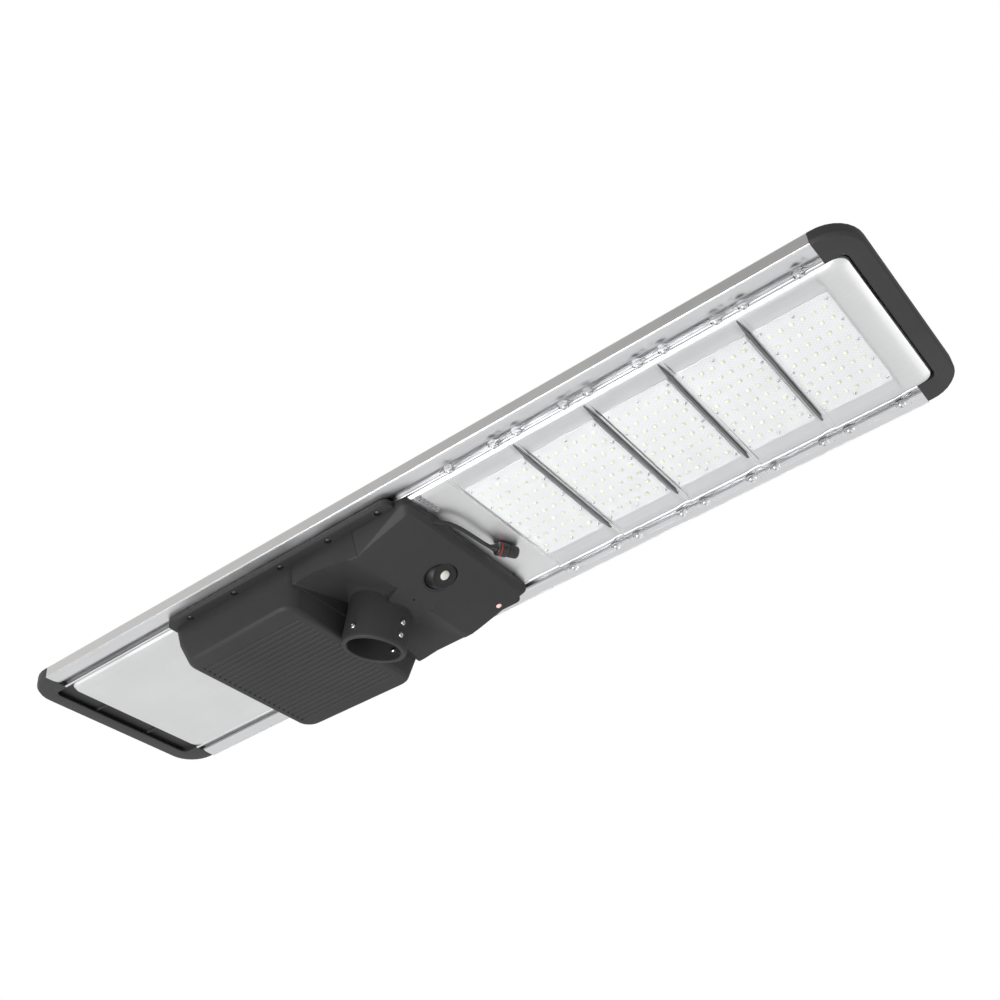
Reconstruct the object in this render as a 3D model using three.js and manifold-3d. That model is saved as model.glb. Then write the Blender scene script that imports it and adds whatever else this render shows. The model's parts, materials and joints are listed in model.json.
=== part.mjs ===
// Solar street lamp: a long framed solar panel with a lit underside and a moulded housing
// that slips over a pole. Millimetres, +Z up, panel level, light modules toward +X.
// The origin is the centre of the pole sleeve's mouth.
import * as THREE from 'three';
import { ConvexGeometry } from 'three/addons/geometries/ConvexGeometry.js';
import { mergeVertices } from 'three/addons/utils/BufferGeometryUtils.js';
import Module from 'manifold-3d';

const wasm = await Module();
wasm.setup();

// Driving dimensions. Inside the lamp group X = 0, Y = 0 is the panel's centre and Z = 0 is
// the underside of the side rails.
const LENGTH = 1404;
const WIDTH = 350;
const FRAME_HEIGHT = 18;
const MATING_GAP = 0.3;

const CAP_LENGTH = 51;
const CAP_CORNER_RADIUS = 46;
const CAP_LEDGE = 24;
const CAP_SKIN = 2.5;
const RAIL_INNER_Y = 135;
const SLOT_INNER_Y = 139;
const SLOT_OUTER_Y = 149;
const LAMINATE_MARGIN = 7;
const LAMINATE_SEAT_Z = 13;
const GLASS_THICKNESS = 3.2;
const CELL_SHEET_THICKNESS = 1.3;

const TRAY_REAR_X = -646;
const TRAY_FRONT_X = 676;
const TRAY_SHEET = 1.6;
const TRAY_FLOOR_Z = -1;
const TRAY_CREST_Z = -4;

const MODULE_COUNT = 5;
const MODULE_PITCH = 109.5;
const FIRST_MODULE_X = 585;
const BOARD_WIDTH = 98;
const BOARD_HALF_LENGTH = 97.5;
const BOARD_THICKNESS = 1.6;
const COVER_WIDTH = 100;
const COVER_HALF_LENGTH = 152;
const COVER_FLANGE_Z = -7.5;
const DIVIDER_LOW_Z = -6.6;
const COVER_TOP_Z = -15;
const COVER_WALL = 1.8;
const COVER_SCREW_X = 36.45;
const COVER_SCREW_Y = 145.5;
const COVER_FOOT_RADIUS = 7;
const DIVIDER_HALF_WIDTH = 2.9;

const SLEEVE_X = -148;
const SLEEVE_Z = -98;
const SLEEVE_TILT = THREE.MathUtils.degToRad(15.7);
const SLEEVE_BORE_RADIUS = 39;
const SLEEVE_OUTER_RADIUS = 47;
const SLEEVE_BORE_DEPTH = 72;
const SLEEVE_ROOF = 5;

const PLATE_TILT = THREE.MathUtils.degToRad(15.5);
const PLATE_REAR_X = -71;
const PLATE_REAR_Z = -49.3;
const PLATE_FRONT_X = 29;
const PLATE_HALF_WIDTH = 129;
const SHELL_WALL = 3;
const FLANGE_HALF_WIDTH = 156;
const FLANGE_LOW_Z = -10.5;
const FLANGE_REAR_X = -409;
const FLANGE_FRONT_X = 12;
const SKIRT_FRONT_X = 34;
const SKIRT_HALF_WIDTH = 140;
const BOX_LOW_Z = -73;
const BOX_FRONT_X = -183;
const TROUGH_Z = -43;
const SEAL_HALF_WIDTH = 97;
const SEAL_REAR_X = -386;
const SEAL_FRONT_X = 24;

const FLANGE_SCREW_Y = 145;
const FLANGE_SCREW_REAR_X = -368;
const FLANGE_SCREW_PITCH = 89;
const FLANGE_SCREWS_A_SIDE = 5;
const TETHER_HOLE_RADIUS = 4;
const BOSS_RADIUS = 6.5;

const BALL_RADIUS = 26;
const BALL_DEPTH = 14;
const BALL_FACE = 17;
const BALL_BACK = 4;
const BALL_TURN = THREE.MathUtils.degToRad(22);
const SENSOR_X = -20.3;
const SENSOR_HOLE_RADIUS = 24.5;

const GROOVE_COUNT = 21;
const GROOVE_PITCH = 10.2;
const CLAMP_RADIUS = 4;
const CLAMP_STEPS = [
  { name: 'clamp_screw_near', angle: -90, along: 17 },
  { name: 'clamp_screw_far', angle: 90, along: 17 },
  { name: 'clamp_screw_front_low', angle: 0, along: 16 },
  { name: 'clamp_screw_front_high', angle: 0, along: 35 },
];

const CABLE_RADIUS = 2.8;
const CABLE_SIDES = 10;

const DEG = Math.PI / 180;

function material(color, roughness, metalness) {
  return new THREE.MeshStandardMaterial({ color, roughness, metalness });
}

const finishes = {
  aluminium: material(0xd4d6d8, 0.38, 0.9),
  tray: material(0xdfe1e3, 0.32, 0.85),
  blackPlastic: material(0x3c3d3f, 0.6, 0),
  darkRubber: material(0x2a2b2c, 0.8, 0),
  glass: material(0xbfd0dc, 0.06, 0),
  cells: material(0x10203c, 0.3, 0.1),
  board: material(0xf2f2f0, 0.5, 0),
  clearCover: material(0xf4f7f8, 0.08, 0),
  steel: material(0xb8bbbe, 0.25, 1),
  whiteLens: material(0xe9e6df, 0.45, 0),
  redLens: material(0xe58a8a, 0.3, 0),
  battery: material(0x2f5f9e, 0.5, 0),
  circuit: material(0x1f5a34, 0.6, 0),
};

// ---------------------------------------------------------------- solids

function asSolid(geometry) {
  const bare = geometry.index ? geometry.clone() : geometry;
  for (const name of ['normal', 'uv']) {
    bare.deleteAttribute(name);
  }
  const merged = mergeVertices(bare, 1e-4);
  return new wasm.Manifold(
    new wasm.Mesh({
      numProp: 3,
      vertProperties: new Float32Array(merged.attributes.position.array),
      triVerts: new Uint32Array(merged.index.array),
    }),
  );
}

function asGeometry(solid) {
  const mesh = solid.getMesh();
  const geometry = new THREE.BufferGeometry();
  geometry.setAttribute('position', new THREE.BufferAttribute(mesh.vertProperties, 3));
  geometry.setIndex(new THREE.BufferAttribute(mesh.triVerts, 1));
  return geometry;
}

function joinAll(solids) {
  return solids.reduce((whole, solid) => whole.add(solid));
}

function cutAll(solid, tools) {
  return tools.reduce((rest, tool) => rest.subtract(tool), solid);
}

function block(x0, x1, y0, y1, z0, z1) {
  const geometry = new THREE.BoxGeometry(x1 - x0, y1 - y0, z1 - z0);
  return geometry.translate((x0 + x1) / 2, (y0 + y1) / 2, (z0 + z1) / 2);
}

function hull(points) {
  return new ConvexGeometry(points.map((point) => new THREE.Vector3(...point)));
}

/** Plan outline between two X stations, with a half width at each and rounded corners. */
function planPoints(x0, half0, x1, half1, radius, steps = 5) {
  const corners = [
    [x1 - radius, half1 - radius, 0],
    [x0 + radius, half0 - radius, 90],
    [x0 + radius, radius - half0, 180],
    [x1 - radius, radius - half1, 270],
  ];
  const points = [];
  for (const [x, y, start] of corners) {
    for (let step = 0; step <= steps; step += 1) {
      const angle = (start + (90 * step) / steps) * DEG;
      points.push([x + radius * Math.cos(angle), y + radius * Math.sin(angle)]);
    }
  }
  return points;
}

function planShape(points) {
  return new THREE.Shape(points.map(([x, y]) => new THREE.Vector2(x, y)));
}

function slab(points, z0, z1) {
  const geometry = new THREE.ExtrudeGeometry(planShape(points), {
    depth: z1 - z0,
    bevelEnabled: false,
  });
  return geometry.translate(0, 0, z0);
}

/** A closed body through rings of equal point count, its first and last rings capped flat. */
function loft(rings) {
  const count = rings[0].points.length;
  const positions = rings.flatMap((ring) => ring.points.flatMap(([x, y]) => [x, y, ring.z]));
  const index = [];
  for (let ring = 0; ring + 1 < rings.length; ring += 1) {
    for (let i = 0; i < count; i += 1) {
      const a = ring * count + i;
      const b = ring * count + ((i + 1) % count);
      index.push(a, b, a + count, b, b + count, a + count);
    }
  }
  const last = (rings.length - 1) * count;
  for (let i = 1; i + 1 < count; i += 1) {
    index.push(0, i + 1, i);
    index.push(last, last + i, last + i + 1);
  }
  const geometry = new THREE.BufferGeometry();
  geometry.setAttribute('position', new THREE.Float32BufferAttribute(positions, 3));
  geometry.setIndex(index);
  return signedVolume(geometry) < 0 ? flipped(geometry) : geometry;
}

function signedVolume(geometry) {
  const position = geometry.attributes.position;
  const [a, b, c] = [new THREE.Vector3(), new THREE.Vector3(), new THREE.Vector3()];
  let volume = 0;
  for (let i = 0; i < geometry.index.count; i += 3) {
    a.fromBufferAttribute(position, geometry.index.getX(i));
    b.fromBufferAttribute(position, geometry.index.getX(i + 1));
    c.fromBufferAttribute(position, geometry.index.getX(i + 2));
    volume += a.dot(b.cross(c)) / 6;
  }
  return volume;
}

function flipped(geometry) {
  const index = Array.from(geometry.index.array);
  for (let i = 0; i < index.length; i += 3) {
    [index[i], index[i + 1]] = [index[i + 1], index[i]];
  }
  geometry.setIndex(index);
  return geometry;
}

/** A turned body about Z from [radius, z] pairs, its profile closed on itself or on the axis. */
function turned(profile, segments = 32) {
  const points = profile.map(([radius, z]) => new THREE.Vector2(radius, z));
  return new THREE.LatheGeometry(points, segments).rotateX(Math.PI / 2);
}

function rod(radius, z0, z1, segments = 24) {
  return turned([[0, z0], [radius, z0], [radius, z1], [0, z1]], segments);
}

/** Turn a body whose axis is +Z so that the axis points along the given direction. */
function aimed(geometry, origin, direction) {
  const up = new THREE.Vector3(0, 0, 1);
  const turn = new THREE.Quaternion().setFromUnitVectors(up, direction.clone().normalize());
  return geometry.applyQuaternion(turn).translate(origin.x, origin.y, origin.z);
}

// ---------------------------------------------------------------- lamp assembly

const lamp = new THREE.Group();
lamp.position.set(-SLEEVE_X, 0, -SLEEVE_Z);

function place(name, geometry, finish) {
  const mesh = new THREE.Mesh(geometry, finish);
  mesh.name = name;
  lamp.add(mesh);
}

const moduleX = (module) => FIRST_MODULE_X - module * MODULE_PITCH;
const plateZ = (x) => PLATE_REAR_Z + (x - PLATE_REAR_X) * Math.tan(PLATE_TILT);

// ---------------------------------------------------------------- rails

const flangeScrews = [];
for (const side of [-1, 1]) {
  for (let i = 0; i < FLANGE_SCREWS_A_SIDE; i += 1) {
    const isTether = side > 0 && i === FLANGE_SCREWS_A_SIDE - 1;
    const x = FLANGE_SCREW_REAR_X + i * FLANGE_SCREW_PITCH;
    flangeScrews.push({ x, y: side * FLANGE_SCREW_Y, isTether });
  }
}
const tether = flangeScrews.find((screw) => screw.isTether);
const fitted = flangeScrews.filter((screw) => !screw.isTether);

function railProfile() {
  const half = WIDTH / 2;
  const lip = half - LAMINATE_MARGIN;
  const pocket = 2.4;
  const outline = [
    [half, 0], [half, FRAME_HEIGHT], [lip, FRAME_HEIGHT], [lip, LAMINATE_SEAT_Z],
    [RAIL_INNER_Y, LAMINATE_SEAT_Z], [RAIL_INNER_Y, 0], [SLOT_INNER_Y, 0],
    [SLOT_INNER_Y, 2], [SLOT_INNER_Y - pocket, 2], [SLOT_INNER_Y - pocket, 8],
    [SLOT_OUTER_Y + pocket, 8], [SLOT_OUTER_Y + pocket, 2], [SLOT_OUTER_Y, 2],
    [SLOT_OUTER_Y, 0],
  ];
  return planShape(outline);
}

function rail(side) {
  const half = LENGTH / 2 - CAP_LENGTH - MATING_GAP;
  const bar = new THREE.ExtrudeGeometry(railProfile(), { depth: 2 * half, bevelEnabled: false });
  // The profile's first axis becomes Y, its second Z, and the extrusion runs along X.
  bar.applyMatrix4(new THREE.Matrix4().set(0, 0, 1, -half, 1, 0, 0, 0, 0, 1, 0, 0, 0, 0, 0, 1));
  const chamber = asSolid(block(-half - 1, half + 1, 154, 172.5, 2.1, 10.8));
  const hollowed = asSolid(bar).subtract(chamber);
  return asGeometry(side > 0 ? hollowed : hollowed.mirror([0, 1, 0]));
}

place('side_rail_near', rail(-1), finishes.aluminium);
place('side_rail_far', rail(1), finishes.aluminium);

// ---------------------------------------------------------------- end caps

function endCap(side) {
  const tip = LENGTH / 2;
  const root = tip - CAP_LENGTH;
  const half = WIDTH / 2;
  const inset = LAMINATE_MARGIN;
  const pocketX = tip - CAP_LEDGE;
  const body = loft([
    { points: planPoints(0, half - 3, tip - 3, half - 3, CAP_CORNER_RADIUS - 3, 8), z: 0 },
    { points: planPoints(0, half, tip, half, CAP_CORNER_RADIUS, 8), z: 4 },
    { points: planPoints(0, half, tip, half, CAP_CORNER_RADIUS, 8), z: FRAME_HEIGHT },
  ]);
  const laminateSeat = slab(
    planPoints(-10, half - inset, tip - inset, half - inset, CAP_CORNER_RADIUS - inset, 8),
    LAMINATE_SEAT_Z,
    FRAME_HEIGHT + 1,
  );
  const hollow = slab(
    planPoints(root - 60, RAIL_INNER_Y, tip - 4, RAIL_INNER_Y, 30, 6),
    CAP_SKIN,
    10,
  );
  const mouth = slab(planPoints(root - 60, RAIL_INNER_Y, pocketX, RAIL_INNER_Y, 10, 4), -1, 5);
  let cap = cutAll(asSolid(body), [
    asSolid(block(-20, root, -half - 5, half + 5, -5, FRAME_HEIGHT + 5)),
    asSolid(laminateSeat),
    asSolid(hollow),
    asSolid(mouth),
  ]);
  const ribs = [-52, 52].map((y) => asSolid(block(root + 6, tip - 2, y - 1.5, y + 1.5, 5.5, 11)));
  const tongues = [-1, 1].map((way) => {
    const middle = way * 163.25;
    return asSolid(block(root - 36, root + 2, middle - 8.9, middle + 8.9, 2.3, 10.5));
  });
  cap = joinAll([cap, ...ribs, ...tongues]);
  return asGeometry(side > 0 ? cap : cap.mirror([1, 0, 0]));
}

place('end_cap_front', endCap(1), finishes.blackPlastic);
place('end_cap_rear', endCap(-1), finishes.blackPlastic);

// ---------------------------------------------------------------- solar laminate

const laminateHalfX = LENGTH / 2 - LAMINATE_MARGIN - 0.5;
const laminateHalfY = WIDTH / 2 - LAMINATE_MARGIN - 0.5;
const laminatePlan = planPoints(
  -laminateHalfX,
  laminateHalfY,
  laminateHalfX,
  laminateHalfY,
  CAP_CORNER_RADIUS - LAMINATE_MARGIN,
  8,
);
const cellLow = LAMINATE_SEAT_Z + MATING_GAP;
const glassHigh = FRAME_HEIGHT;
place('solar_glass', slab(laminatePlan, glassHigh - GLASS_THICKNESS, glassHigh), finishes.glass);
place('solar_cell_sheet', slab(laminatePlan, cellLow, cellLow + CELL_SHEET_THICKNESS), finishes.cells);

const junctionBox = loft([
  { points: planPoints(-298, 28, -202, 28, 5, 3), z: 1.4 },
  { points: planPoints(-300, 30, -200, 30, 6, 3), z: 3.4 },
  { points: planPoints(-300, 30, -200, 30, 6, 3), z: LAMINATE_SEAT_Z },
]);
place('panel_junction_box', junctionBox, finishes.blackPlastic);

// ---------------------------------------------------------------- back tray

function backTray() {
  const edge = RAIL_INNER_Y - 1;
  const ring = (rear, half, front, radius, z) => ({
    points: planPoints(TRAY_REAR_X + rear, half, TRAY_FRONT_X - front, half, radius, 6),
    z,
  });
  const sheet = loft([
    ring(32, edge - 32, 41, 12, TRAY_FLOOR_Z),
    ring(17, edge - 18, 30, 14, TRAY_CREST_Z + 1),
    ring(8, edge - 9, 19, 15, TRAY_CREST_Z),
    ring(2, edge - 3, 9, 15, TRAY_CREST_Z + 1.2),
    ring(0, edge, 2, 15, 0.5),
    ring(0, edge, 0, 15, 4),
    ring(TRAY_SHEET, edge - TRAY_SHEET, TRAY_SHEET, 13.4, 4),
    ring(TRAY_SHEET, edge - TRAY_SHEET, 4, 13.4, 1),
    ring(4, edge - 5, 10, 13.4, TRAY_CREST_Z + 1.2 + TRAY_SHEET),
    ring(9, edge - 9, 19, 14, TRAY_CREST_Z + TRAY_SHEET),
    ring(17, edge - 18, 30, 13, TRAY_CREST_Z + 1 + TRAY_SHEET),
    ring(32, edge - 32, 41, 12, TRAY_FLOOR_Z + TRAY_SHEET),
  ]);
  const wireWay = slab(planPoints(-195, 18, -165, 18, 6, 4), -6, 6);
  return asGeometry(asSolid(sheet).subtract(asSolid(wireWay)));
}

place('back_tray', backTray(), finishes.tray);

// ---------------------------------------------------------------- light modules

function lightBoard(x) {
  const half = BOARD_WIDTH / 2;
  const high = TRAY_FLOOR_Z - MATING_GAP;
  const plan = planPoints(x - half, BOARD_HALF_LENGTH, x + half, BOARD_HALF_LENGTH, 3, 3);
  return slab(plan, high - BOARD_THICKNESS, high);
}

function lightCover(x) {
  const half = COVER_WIDTH / 2;
  const ring = (inset, length, radius, z) => ({
    points: planPoints(x - half + inset, length, x + half - inset, length, radius, 3),
    z,
  });
  const seatZ = COVER_FLANGE_Z + 2;
  const dome = loft([
    ring(9, 108, 4, COVER_TOP_Z),
    ring(6, 113, 5, COVER_TOP_Z + 1.2),
    ring(1.2, 134, 3, COVER_FLANGE_Z),
    ring(0, COVER_HALF_LENGTH, 4, COVER_FLANGE_Z),
    ring(0, COVER_HALF_LENGTH, 4, seatZ),
    ring(1.2 + COVER_WALL, 134 - COVER_WALL, 3, seatZ),
    ring(6 + COVER_WALL, 113 - COVER_WALL, 4, COVER_TOP_Z + 1.2 + COVER_WALL),
    ring(9 + COVER_WALL, 108 - COVER_WALL, 3, COVER_TOP_Z + COVER_WALL),
  ]);
  const feet = [];
  for (const footX of [x - COVER_SCREW_X, x + COVER_SCREW_X]) {
    for (const footY of [-COVER_SCREW_Y, COVER_SCREW_Y]) {
      const foot = rod(COVER_FOOT_RADIUS, COVER_FLANGE_Z + 1, -MATING_GAP, 24);
      feet.push(asSolid(foot.translate(footX, footY, 0)));
    }
  }
  return asGeometry(joinAll([asSolid(dome), ...feet]));
}

function divider(x) {
  const [x0, x1] = [x - DIVIDER_HALF_WIDTH, x + DIVIDER_HALF_WIDTH];
  const onFloor = block(x0, x1, -99, 99, DIVIDER_LOW_Z, TRAY_FLOOR_Z - MATING_GAP);
  const onCrest = block(x0, x1, -130, 104, DIVIDER_LOW_Z, TRAY_CREST_Z - 0.6);
  return asGeometry(asSolid(onFloor).add(asSolid(onCrest)));
}

for (let module = 0; module < MODULE_COUNT; module += 1) {
  place(`light_board_${module + 1}`, lightBoard(moduleX(module)), finishes.board);
  place(`light_cover_${module + 1}`, lightCover(moduleX(module)), finishes.clearCover);
  if (module > 0) {
    const between = (moduleX(module - 1) + moduleX(module)) / 2;
    place(`module_divider_${module}`, divider(between), finishes.darkRubber);
  }
}

// ---------------------------------------------------------------- housing

const sleeveAxis = new THREE.Vector3(Math.sin(SLEEVE_TILT), 0, Math.cos(SLEEVE_TILT));
const sleeveMouth = new THREE.Vector3(SLEEVE_X, 0, SLEEVE_Z);
const plateNormal = new THREE.Vector3(-Math.sin(PLATE_TILT), 0, Math.cos(PLATE_TILT));
const sensorPoint = new THREE.Vector3(SENSOR_X, 0, plateZ(SENSOR_X));
const cableExit = new THREE.Vector3(SKIRT_FRONT_X, -80, -11.5);
const cableHeading = new THREE.Vector3(0.6, 0.8, 0);

const atHeight = (points, z) => points.map(([x, y]) => [x, y, z]);

/** Battery box, its skin moved inward by the inset. */
function boxHull(inset, topZ) {
  const ring = (rear, halfRear, front, halfFront, radius, z) =>
    atHeight(
      planPoints(rear + inset, halfRear - inset, front - inset, halfFront - inset, radius - inset, 6),
      z,
    );
  return hull([
    ...ring(-388, 126, BOX_FRONT_X - 4, 131, 20, BOX_LOW_Z + inset),
    ...ring(-393, 132, BOX_FRONT_X, 136, 22, BOX_LOW_Z + 4 + inset),
    ...ring(-404, 138, BOX_FRONT_X + 11, 139, 16, TROUGH_Z + 5),
    ...ring(FLANGE_REAR_X, SKIRT_HALF_WIDTH, -168, SKIRT_HALF_WIDTH, 14, FLANGE_LOW_Z),
    ...ring(FLANGE_REAR_X, SKIRT_HALF_WIDTH, -168, SKIRT_HALF_WIDTH, 14, topZ),
  ]);
}

/** Sensor block under the sloping plate, its skin moved inward by the inset. */
function sensorHull(inset, topZ) {
  const rear = PLATE_REAR_X + inset;
  const front = PLATE_FRONT_X - inset;
  const half = PLATE_HALF_WIDTH - inset;
  const plate = planPoints(rear, half, front, half, 10 - inset, 5);
  const foot = planPoints(
    rear, SKIRT_HALF_WIDTH - inset, SKIRT_FRONT_X - inset, SKIRT_HALF_WIDTH - inset, 12 - inset, 5,
  );
  return hull([
    ...plate.map(([x, y]) => [x, y, plateZ(x) + inset]),
    ...atHeight(foot, FLANGE_LOW_Z - 2),
    ...atHeight(foot, topZ),
  ]);
}

/** The low saddle that joins the battery box to the sensor block. */
function saddleHull() {
  const rear = BOX_FRONT_X + 9;
  const front = PLATE_REAR_X + 8;
  const points = [];
  for (const side of [-1, 1]) {
    points.push([rear, side * 138.5, TROUGH_Z], [front, side * 129.5, plateZ(PLATE_REAR_X) + 2]);
    for (const z of [FLANGE_LOW_Z - 2, -MATING_GAP]) {
      points.push([rear, side * SKIRT_HALF_WIDTH, z], [front, side * SKIRT_HALF_WIDTH, z]);
    }
  }
  return hull(points);
}

/** Faceted pocket beside the sleeve, its rim dipping in the middle of the side. */
function scoop(side) {
  const rim = [
    [BOX_FRONT_X + 11, 146, TROUGH_Z - 3], [-137, 146, TROUGH_Z],
    [PLATE_REAR_X - 1, 146, -49.5], [PLATE_REAR_X - 1, 38, -48.5], [BOX_FRONT_X + 6, 20, -58],
  ];
  const points = rim.flatMap(([x, y, z]) => [[x, side * y, z], [x, side * y, z - 24]]);
  points.push([-138, side * 68, -19], [-165, side * 32, -24]);
  return hull(points);
}

function sealWall() {
  const outer = planPoints(SEAL_REAR_X, SEAL_HALF_WIDTH, SEAL_FRONT_X, SEAL_HALF_WIDTH, 8, 4);
  const inner = planPoints(
    SEAL_REAR_X + SHELL_WALL,
    SEAL_HALF_WIDTH - SHELL_WALL,
    SEAL_FRONT_X - SHELL_WALL,
    SEAL_HALF_WIDTH - SHELL_WALL,
    5,
    4,
  );
  return asSolid(slab(outer, -90, -3.4)).subtract(asSolid(slab(inner, -100, 0)));
}

function sleeveBody() {
  const high = SLEEVE_BORE_DEPTH + SLEEVE_ROOF;
  const edge = 3;
  const tube = turned(
    [
      [0, 0], [SLEEVE_OUTER_RADIUS - edge, 0], [SLEEVE_OUTER_RADIUS, edge],
      [SLEEVE_OUTER_RADIUS, high], [0, high],
    ],
    56,
  );
  return asSolid(aimed(tube, sleeveMouth, sleeveAxis));
}

function clampDirection(angle) {
  const outward = new THREE.Vector3(Math.cos(SLEEVE_TILT), 0, -Math.sin(SLEEVE_TILT));
  return outward.applyAxisAngle(sleeveAxis, angle * DEG);
}

function clampOrigin(screw) {
  return sleeveMouth.clone().addScaledVector(sleeveAxis, screw.along);
}

function flangeFrame() {
  const plan = (inset) => planPoints(
    FLANGE_REAR_X + inset, FLANGE_HALF_WIDTH - inset,
    FLANGE_FRONT_X - inset, FLANGE_HALF_WIDTH - inset,
    12 - inset, 6,
  );
  const plate = asSolid(slab(plan(0), FLANGE_LOW_Z, -MATING_GAP));
  const inside = asSolid(slab(plan(SHELL_WALL), FLANGE_LOW_Z + SHELL_WALL, 5));
  const opening = asSolid(block(-400, 60, -137, 137, -30, 5));
  return cutAll(plate, [inside, opening]);
}

function housing() {
  const top = -MATING_GAP;
  const outer = joinAll([
    asSolid(boxHull(0, top)),
    asSolid(sensorHull(0, top)),
    asSolid(saddleHull()),
  ]);
  const cavities = [
    asSolid(boxHull(SHELL_WALL, 5)),
    asSolid(sensorHull(SHELL_WALL, 5)),
    asSolid(block(-176, -66, 3 - SKIRT_HALF_WIDTH, SKIRT_HALF_WIDTH - 3, -14, 5)),
  ];
  let shell = cutAll(outer, cavities);
  shell = shell.add(sealWall().intersect(outer));
  shell = cutAll(shell, [asSolid(scoop(1)), asSolid(scoop(-1))]);

  const bosses = flangeScrews.map((screw) =>
    asSolid(rod(BOSS_RADIUS, FLANGE_LOW_Z + 1, top, 24).translate(screw.x, screw.y, 0)),
  );
  const tab = hull(
    [-37, 37].flatMap((y) => [
      [-93, y * 0.8, plateZ(-93)], [PLATE_REAR_X + 2, y, plateZ(PLATE_REAR_X + 2)],
      [-93, y * 0.8, -30], [PLATE_REAR_X + 2, y, -30],
    ]),
  );
  shell = joinAll([shell, flangeFrame(), ...bosses, asSolid(tab), sleeveBody()]);
  return asGeometry(cutAll(shell, housingCuts()));
}

function housingCuts() {
  const bore = rod(SLEEVE_BORE_RADIUS, -20, SLEEVE_BORE_DEPTH, 56);
  const sensorHole = rod(SENSOR_HOLE_RADIUS, -10, 12, 48);
  const cuts = [
    aimed(bore, sleeveMouth, sleeveAxis),
    aimed(sensorHole, sensorPoint, plateNormal),
    block(-420, 60, -98, 98, TRAY_FLOOR_Z - 0.4, 5),
    block(-420, 60, 98, RAIL_INNER_Y + 1, TRAY_CREST_Z - 0.4, 5),
    block(-420, 60, -RAIL_INNER_Y - 1, -98, TRAY_CREST_Z - 0.4, 5),
    aimed(rod(4.5, -6, 12, 20), new THREE.Vector3(-6.7, 117.9, plateZ(-6.7)), plateNormal),
    rod(TETHER_HOLE_RADIUS, -25, 2, 24).translate(tether.x, tether.y, 0),
    aimed(rod(4.3, -12, 12, 16), cableExit, cableHeading),
  ];
  for (const y of [-38.4, 0, 38.4]) {
    cuts.push(aimed(rod(1.6, -3, 4, 10), new THREE.Vector3(-70.5, y, plateZ(-70.5)), plateNormal));
  }
  for (const screw of fitted) {
    cuts.push(rod(2.6, -25, 2, 12).translate(screw.x, screw.y, 0));
    cuts.push(rod(5, FLANGE_LOW_Z - 1, FLANGE_LOW_Z + 2.6, 20).translate(screw.x, screw.y, 0));
  }
  for (const screw of CLAMP_STEPS) {
    cuts.push(aimed(rod(CLAMP_RADIUS + 0.4, 20, 60, 16), clampOrigin(screw), clampDirection(screw.angle)));
  }
  for (let groove = 0; groove < GROOVE_COUNT; groove += 1) {
    const y = (groove - (GROOVE_COUNT - 1) / 2) * GROOVE_PITCH;
    cuts.push(block(-374, -203, y - 1.8, y + 1.8, BOX_LOW_Z - 5, BOX_LOW_Z + 1.2));
  }
  return cuts.map(asSolid);
}

place('lower_housing', housing(), finishes.blackPlastic);

function housingSeal() {
  const inset = (by) => planPoints(
    SEAL_REAR_X + by, SEAL_HALF_WIDTH - by, SEAL_FRONT_X - by, SEAL_HALF_WIDTH - by, 8 - by, 4,
  );
  const low = -3.4 + MATING_GAP;
  const high = TRAY_FLOOR_Z - MATING_GAP;
  const band = asSolid(slab(inset(0.3), low, high));
  return asGeometry(band.subtract(asSolid(slab(inset(SHELL_WALL), low - 1, high + 1))));
}

place('housing_seal', housingSeal(), finishes.darkRubber);

fitted.forEach((screw, i) => {
  const headLow = FLANGE_LOW_Z + 0.2;
  const profile = [
    [0, headLow], [3, headLow], [4.4, headLow + 1.1], [4.4, headLow + 2.2],
    [2.1, headLow + 2.2], [2.1, 3], [5.6, 3], [5.6, 6], [0, 6],
  ];
  const body = turned(profile, 16).translate(screw.x, screw.y, 0);
  place(`flange_screw_${i + 1}`, body, finishes.steel);
});

for (const screw of CLAMP_STEPS) {
  const end = SLEEVE_OUTER_RADIUS + 2.5;
  const profile = [
    [0, 36], [2.6, 36], [CLAMP_RADIUS, 37.4], [CLAMP_RADIUS, end - 0.8], [CLAMP_RADIUS - 0.8, end],
    [2.2, end], [2.2, end - 3], [0, end - 3],
  ];
  const body = aimed(turned(profile, 20), clampOrigin(screw), clampDirection(screw.angle));
  place(screw.name, body, finishes.steel);
}

// ---------------------------------------------------------------- battery and controller

const cell = { length: 148, width: 70, height: 26.5 };
let cellNumber = 0;
for (const side of [-1, 1]) {
  for (const layer of [0, 1]) {
    cellNumber += 1;
    const y0 = side > 0 ? 1 : -1 - cell.width;
    const low = BOX_LOW_Z + SHELL_WALL + 1 + layer * (cell.height + 0.6);
    const plan = planPoints(-368, cell.width / 2, -368 + cell.length, cell.width / 2, 4, 3);
    const body = slab(plan, low, low + cell.height).translate(0, y0 + cell.width / 2, 0);
    place(`battery_cell_${cellNumber}`, body, finishes.battery);
  }
}

function batteryStrap() {
  const high = BOX_LOW_Z + SHELL_WALL + 1 + 2 * (cell.height + 0.6) + 1.2;
  const low = BOX_LOW_Z + SHELL_WALL + 0.5;
  const outer = block(-308, -280, -76, 76, low, high + 1.5);
  const inner = block(-309, -279, -72.4, 72.4, low - 1, high - 0.6);
  const feet = [-1, 1].map((side) => {
    const [y0, y1] = side > 0 ? [74, 90] : [-90, -74];
    return asSolid(block(-308, -280, y0, y1, low, low + 1.5));
  });
  return asGeometry(joinAll([asSolid(outer).subtract(asSolid(inner)), ...feet]));
}

place('battery_strap', batteryStrap(), finishes.steel);

const controller = loft([
  { points: planPoints(-52, 21, 10, 21, 3, 3), z: -17 },
  { points: planPoints(-54, 23, 12, 23, 4, 3), z: -15.5 },
  { points: planPoints(-54, 23, 12, 23, 4, 3), z: -5 },
]).translate(0, 68, 0);
place('charge_controller', controller, finishes.circuit);

// ---------------------------------------------------------------- motion sensor

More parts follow.
